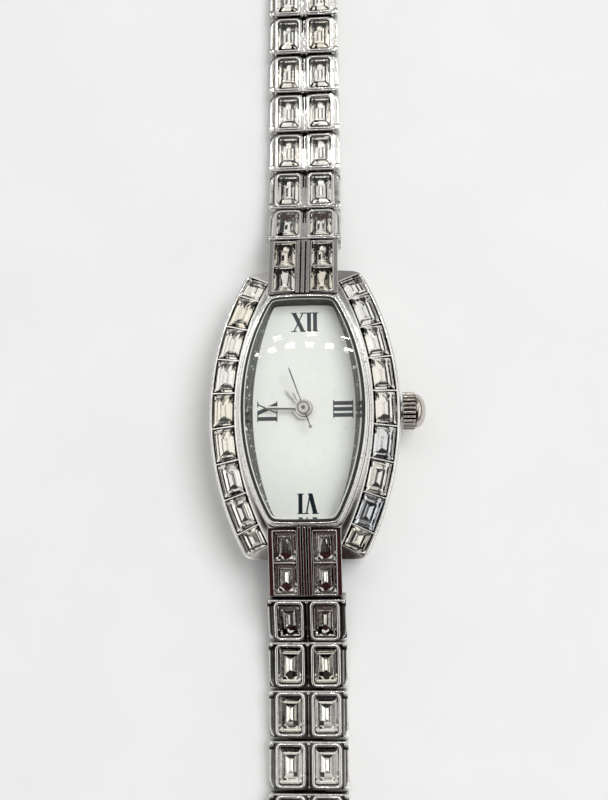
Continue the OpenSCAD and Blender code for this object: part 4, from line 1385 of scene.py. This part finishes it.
def stems(places):
    """Upright stems that share one serif above and one below."""
    low, high = min(places) - THICK / 2 - SERIF_OUT, max(places) + THICK / 2 + SERIF_OUT
    upright = [bar(x - THICK / 2, x + THICK / 2, 0, NUMERAL_H) for x in places]
    return upright + [bar(low, high, 0, SERIF), bar(low, high, NUMERAL_H - SERIF, NUMERAL_H)]


def numeral(strokes, foot, heading):
    """Strokes turned so that up is heading, with their foot at a point of the dial."""
    up = Vector((math.sin(math.radians(heading)), math.cos(math.radians(heading))))
    right = Vector((up.y, -up.x))
    return [[Vector(foot) + right * x + up * y for x, y in stroke] for stroke in strokes]


PRINT = [
    *numeral(letter_x(-0.72, 0.95) + stems([0.38, 1.0]), (0.2, 8.22), 0),
    *numeral(stems([-0.62, 0.0, 0.62]), (2.95, -0.02), 90),
    *numeral(stems([0.62]) + letter_v(-0.42, 0.9), (0.2, -8.6), 180),
    *numeral(stems([-0.72]) + letter_x(0.33, 0.95), (-2.72, -0.2), -90),
]
print("numerals:", len(PRINT), "strokes")

# %% [markdown]
# ## The ink
# Each stroke is a thin slab of ink. Where strokes cross, two tops in one plane would flicker, so
# each is a hair higher than the last.

# %% Print the numerals
INK_T, INK_STEP = 0.012, 0.0004

bm = bmesh.new()
for k, stroke in enumerate(PRINT):
    top = DIAL_Z + INK_T + INK_STEP * k
    upper, lower = ([bm.verts.new(Vector((*p, z)) * MM) for p in stroke] for z in (top, DIAL_Z))
    bm.faces.new(upper)
    bm.faces.new(list(reversed(lower)))
    for a, b in ((0, 1), (1, 2), (2, 3), (3, 0)):
        bm.faces.new((lower[a], lower[b], upper[b], upper[a]))
numerals = closed_piece("dial_numerals", bm, smooth_angle=None)
hand_in(numerals, "case", "white_lacquer", material=ink)
print("ink:", len(numerals.data.polygons), "faces")

# %% [markdown]
# ## Hands
# The hour and minute hands are batons with a ridge along the middle, so that one slope is always
# bright when the other is dark. Each is riveted to a round boss with a raised rim. The second hand
# is a needle with a ball at its tail.

# %% Make the hands
HOUR_Z, MINUTE_Z, SECOND_Z, HAND_T = 5.85, 6.25, 6.67, 0.15
HOUR_ANGLE, MINUTE_ANGLE, SECOND_ANGLE = -39, -89, -19.5
TAIL_Y = 2.1


def lathe(profile, count=48):
    """Rows for a grid from a profile of radius and height, turned round Z."""
    turns = [2 * math.pi * k / count for k in range(count)]
    return [[(r * math.cos(t), r * math.sin(t), z) for r, z in profile] for t in turns]


def boss(radius, hole, level):
    """A flat boss with a raised rim."""
    face, rim = level + HAND_T - 0.03, level + HAND_T + 0.04
    outside = [(hole, level), (radius, level), (radius, face), (radius - 0.04, rim)]
    return lathe(outside + [(radius - 0.12, rim), (radius - 0.18, face), (hole, face)])


def baton(start, end, width, level, tip):
    """Cross-sections of a ridged baton along Y, from near its boss to its point."""
    rows = []
    for y, part in ((start, 0.8), (start + 0.2, 1), (end - tip, 1), (end, 0.12)):
        half = width / 2 * part
        low, top = level + 0.1, level + HAND_T
        rows.append([(half, y, level), (half, y, low), (0, y, top), (-half, y, low), (-half, y, level)])
    return rows


def close_ends(bm):
    """Fills the open ends of swept bars."""
    bmesh.ops.holes_fill(bm, edges=[e for e in bm.edges if e.is_boundary], sides=8)


def make_hand(name, body, node, angle, level, rim, hole, others, shade_over_rest=0.0):
    """Joins a boss and other parts into one hand, sets it to its time and paints shade into it: dark in its
    boss, and as much as the last value over the rest.
    """
    bm = bmesh.new()
    add_grid(bm, boss(rim, hole, level), closed_rows=True)
    for rows, closed in others:
        add_grid(bm, rows, closed)
    close_ends(bm)
    obj = closed_piece(name, bm, 25, merge=0.001)
    obj.data.transform(Matrix.Rotation(math.radians(-angle), 4, "Z"))
    # Painted shade: dark inside the boss's rim, and the given amount elsewhere.
    paint_shade(obj, lambda p: 0.35 if math.hypot(p.x, p.y) < rim - 0.16 else shade_over_rest)
    hand_in(obj, body, "hand_silver", node, material=hand_silver)


hour = [(baton(0.9, 2.68, 0.42, HOUR_Z, 0.25), False)]
minute = [(baton(0.7, 3.92, 0.34, MINUTE_Z, 0.25), False)]
pip = [(0.0, -0.02), (0.17, -0.02), (0.17, 0.1), (0.1, HAND_T), (0.0, HAND_T)]
ball = [[(x, y - TAIL_Y, SECOND_Z + z) for x, y, z in row] for row in lathe(pip, 24)]
needle, tail = baton(0.55, 4.5, 0.13, SECOND_Z, 0.4), baton(-2.05, -0.55, 0.13, SECOND_Z, 0.2)
second = [(needle, False), (tail, False), (ball, True)]
make_hand("hour_baton", "hours", "hour_hand", HOUR_ANGLE, HOUR_Z, 1.05, 0.8, hour)
make_hand("minute_baton", "minutes", "minute_hand", MINUTE_ANGLE, MINUTE_Z, 0.8, 0.5, minute)
make_hand("second_needle", "seconds", "second_hand", SECOND_ANGLE, SECOND_Z, 0.68, 0.2, second, 0.7)
print("hands at", HOUR_ANGLE, MINUTE_ANGLE, "and", SECOND_ANGLE, "degrees")

# %% [markdown]
# ## The crown
# The crown is a turned knob with fine flutes round its band and a polished dome. The flutes are
# evenly spaced, so a tree sets one rounded rib on each of 26 points round the band.

# %% A tree for the flutes
CROWN_R, CROWN_LEN, CROWN_DOME = 1.99, 1.3, 1.15
BAND_R = CROWN_R - 0.14
FLUTES = 26

flutes, given, result = geometry_tree(
    "crown_flutes", Rib="Object", Count=FLUTES, Radius=BAND_R * MM, Place=(0, 0, 0), Metal="Material"
)
ring = place(flutes, "GeometryNodeMeshCircle", Vertices=given["Count"], Radius=given["Radius"])
number = place(flutes, "GeometryNodeInputIndex")
angle = chain(flutes, number, ("MULTIPLY", 2 * math.pi), ("DIVIDE", given["Count"]))
turned = place(flutes, "ShaderNodeCombineXYZ", Z=angle)
drawn = place(flutes, "GeometryNodeObjectInfo", given["Rib"], output="Geometry")
ribs = place(flutes, "GeometryNodeInstanceOnPoints", Points=ring, Instance=drawn, Rotation=turned)
real = place(flutes, "GeometryNodeRealizeInstances", join(flutes, ribs, given["Geometry"]))
across = (0, math.pi / 2, 0)
laid = place(flutes, "GeometryNodeTransform", Geometry=real, Translation=given["Place"], Rotation=across)
feed(flutes, result, place(flutes, "GeometryNodeSetMaterial", Geometry=laid, Material=given["Metal"]))
print("tree:", flutes.name, "with", len(flutes.nodes), "nodes")

# %% [markdown]
# The knob is turned from a profile, standing on its end at the origin. The tree adds the ribs
# there and lays the whole crown over to its place at 3 o'clock.

# %% Turn the crown
CROWN_X, CROWN_Z = CASE_W / 2 + 0.2, 3.9
DOME_R, DOME_STEPS = CROWN_R - 0.2, 12
RIB_ENDS = [(0.03, 0.5), (0.12, 1.0), (CROWN_LEN - 0.12, 1.0), (CROWN_LEN - 0.03, 0.5)]  # height, share
RIB_OUT, RIB_HALF, RIB_FOOT = 0.14, 0.135, 0.1

arc = [math.pi * (k / 6 - 0.5) for k in range(7)]
bm = bmesh.new()
sections = [
    [(RIB_OUT * part * math.cos(t), RIB_HALF * math.sin(t), z) for t in arc] + [(-RIB_FOOT, 0, z)]
    for z, part in RIB_ENDS
]
add_grid(bm, sections)
close_ends(bm)
rib = closed_piece("rib", bm, 50)

profile = [(0.42, 0.85), (1.2, 0.85), (1.2, 0.0), (BAND_R, 0.0), (BAND_R, 0.06), (BAND_R, CROWN_LEN - 0.06)]
profile += [(BAND_R - 0.1, CROWN_LEN), (DOME_R - 0.03, CROWN_LEN)]
for k in range(1, DOME_STEPS + 1):
    t = math.pi / 2 * k / DOME_STEPS
    radius = DOME_R * math.cos(t) if k < DOME_STEPS else 0.0
    profile.append((radius, CROWN_LEN + CROWN_DOME * math.sin(t) ** 0.9))
crown = grid_piece("crown_knob", lathe(profile, 96), closed_columns=False, smooth_angle=30)
# Painted shade on the band between the flutes.
paint_shade(crown, lambda p: 0 < p.z < CROWN_LEN + 0.01 and math.hypot(p.x, p.y) > BAND_R - 0.12)
spot = Vector((CROWN_X, 0, CROWN_Z)) * MM
grow(crown, flutes, Rib=rib, Count=FLUTES, Radius=BAND_R * MM, Place=spot, Metal=crown_steel)
bpy.data.objects.remove(rib)
hand_in(crown, "crown", "polished_silver", "crown")
print("crown:", len(crown.data.polygons), "faces")

# %% [markdown]
# ## Clasp
# The fold-over clasp and its catch are stamped from flat sheet, so they are rounded copies. Their
# shortest edges are left sharp, because they belong to small round holes and pins.

# %% Round the clasp
CLASP_ROUND = {"catch_link": 0.07, "clasp_base": 0.06, "clasp_lid": 0.08}
SHORT_EDGE = 0.35

for node, width in CLASP_ROUND.items():
    piece = rounded_copy(node, f"{node}_metal", width, lambda e: e.calc_length() > SHORT_EDGE * MM)
    hand_in(even_normals(piece), node, "polished_silver", node, material=silver)
print("clasp parts:", len(CLASP_ROUND))

# %% [markdown]
# ## Pieces that keep their CAD shape
# What the case hides, and the dial and back, are flat plates, discs and turned parts. Their drawn
# shape is already right, so they only get a finish.

# %% Finish them
FINISHES = {
    "case_back": back_steel,
    "back_gasket": rubber,
    "dial": lacquer,
    "movement_holder": plastic,
    "movement_plate": brass_plate,
    "train_bridge": brushed_plate,
    "circuit_board": board,
    "battery": cell_steel,
    "crown_tube": brushed_plate,
    "setting_lever": brushed_plate,
    "stem": brushed_plate,
    "hour_wheel": brass_plate,
    "cannon_pinion": brass_plate,
    "second_wheel": arbor_steel,
}
for node, material in FINISHES.items():
    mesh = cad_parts[node].data
    mesh.materials.clear()
    mesh.materials.append(material)
bpy.data.objects.remove(stone_cut)
print("finished nodes:", len(FINISHES))
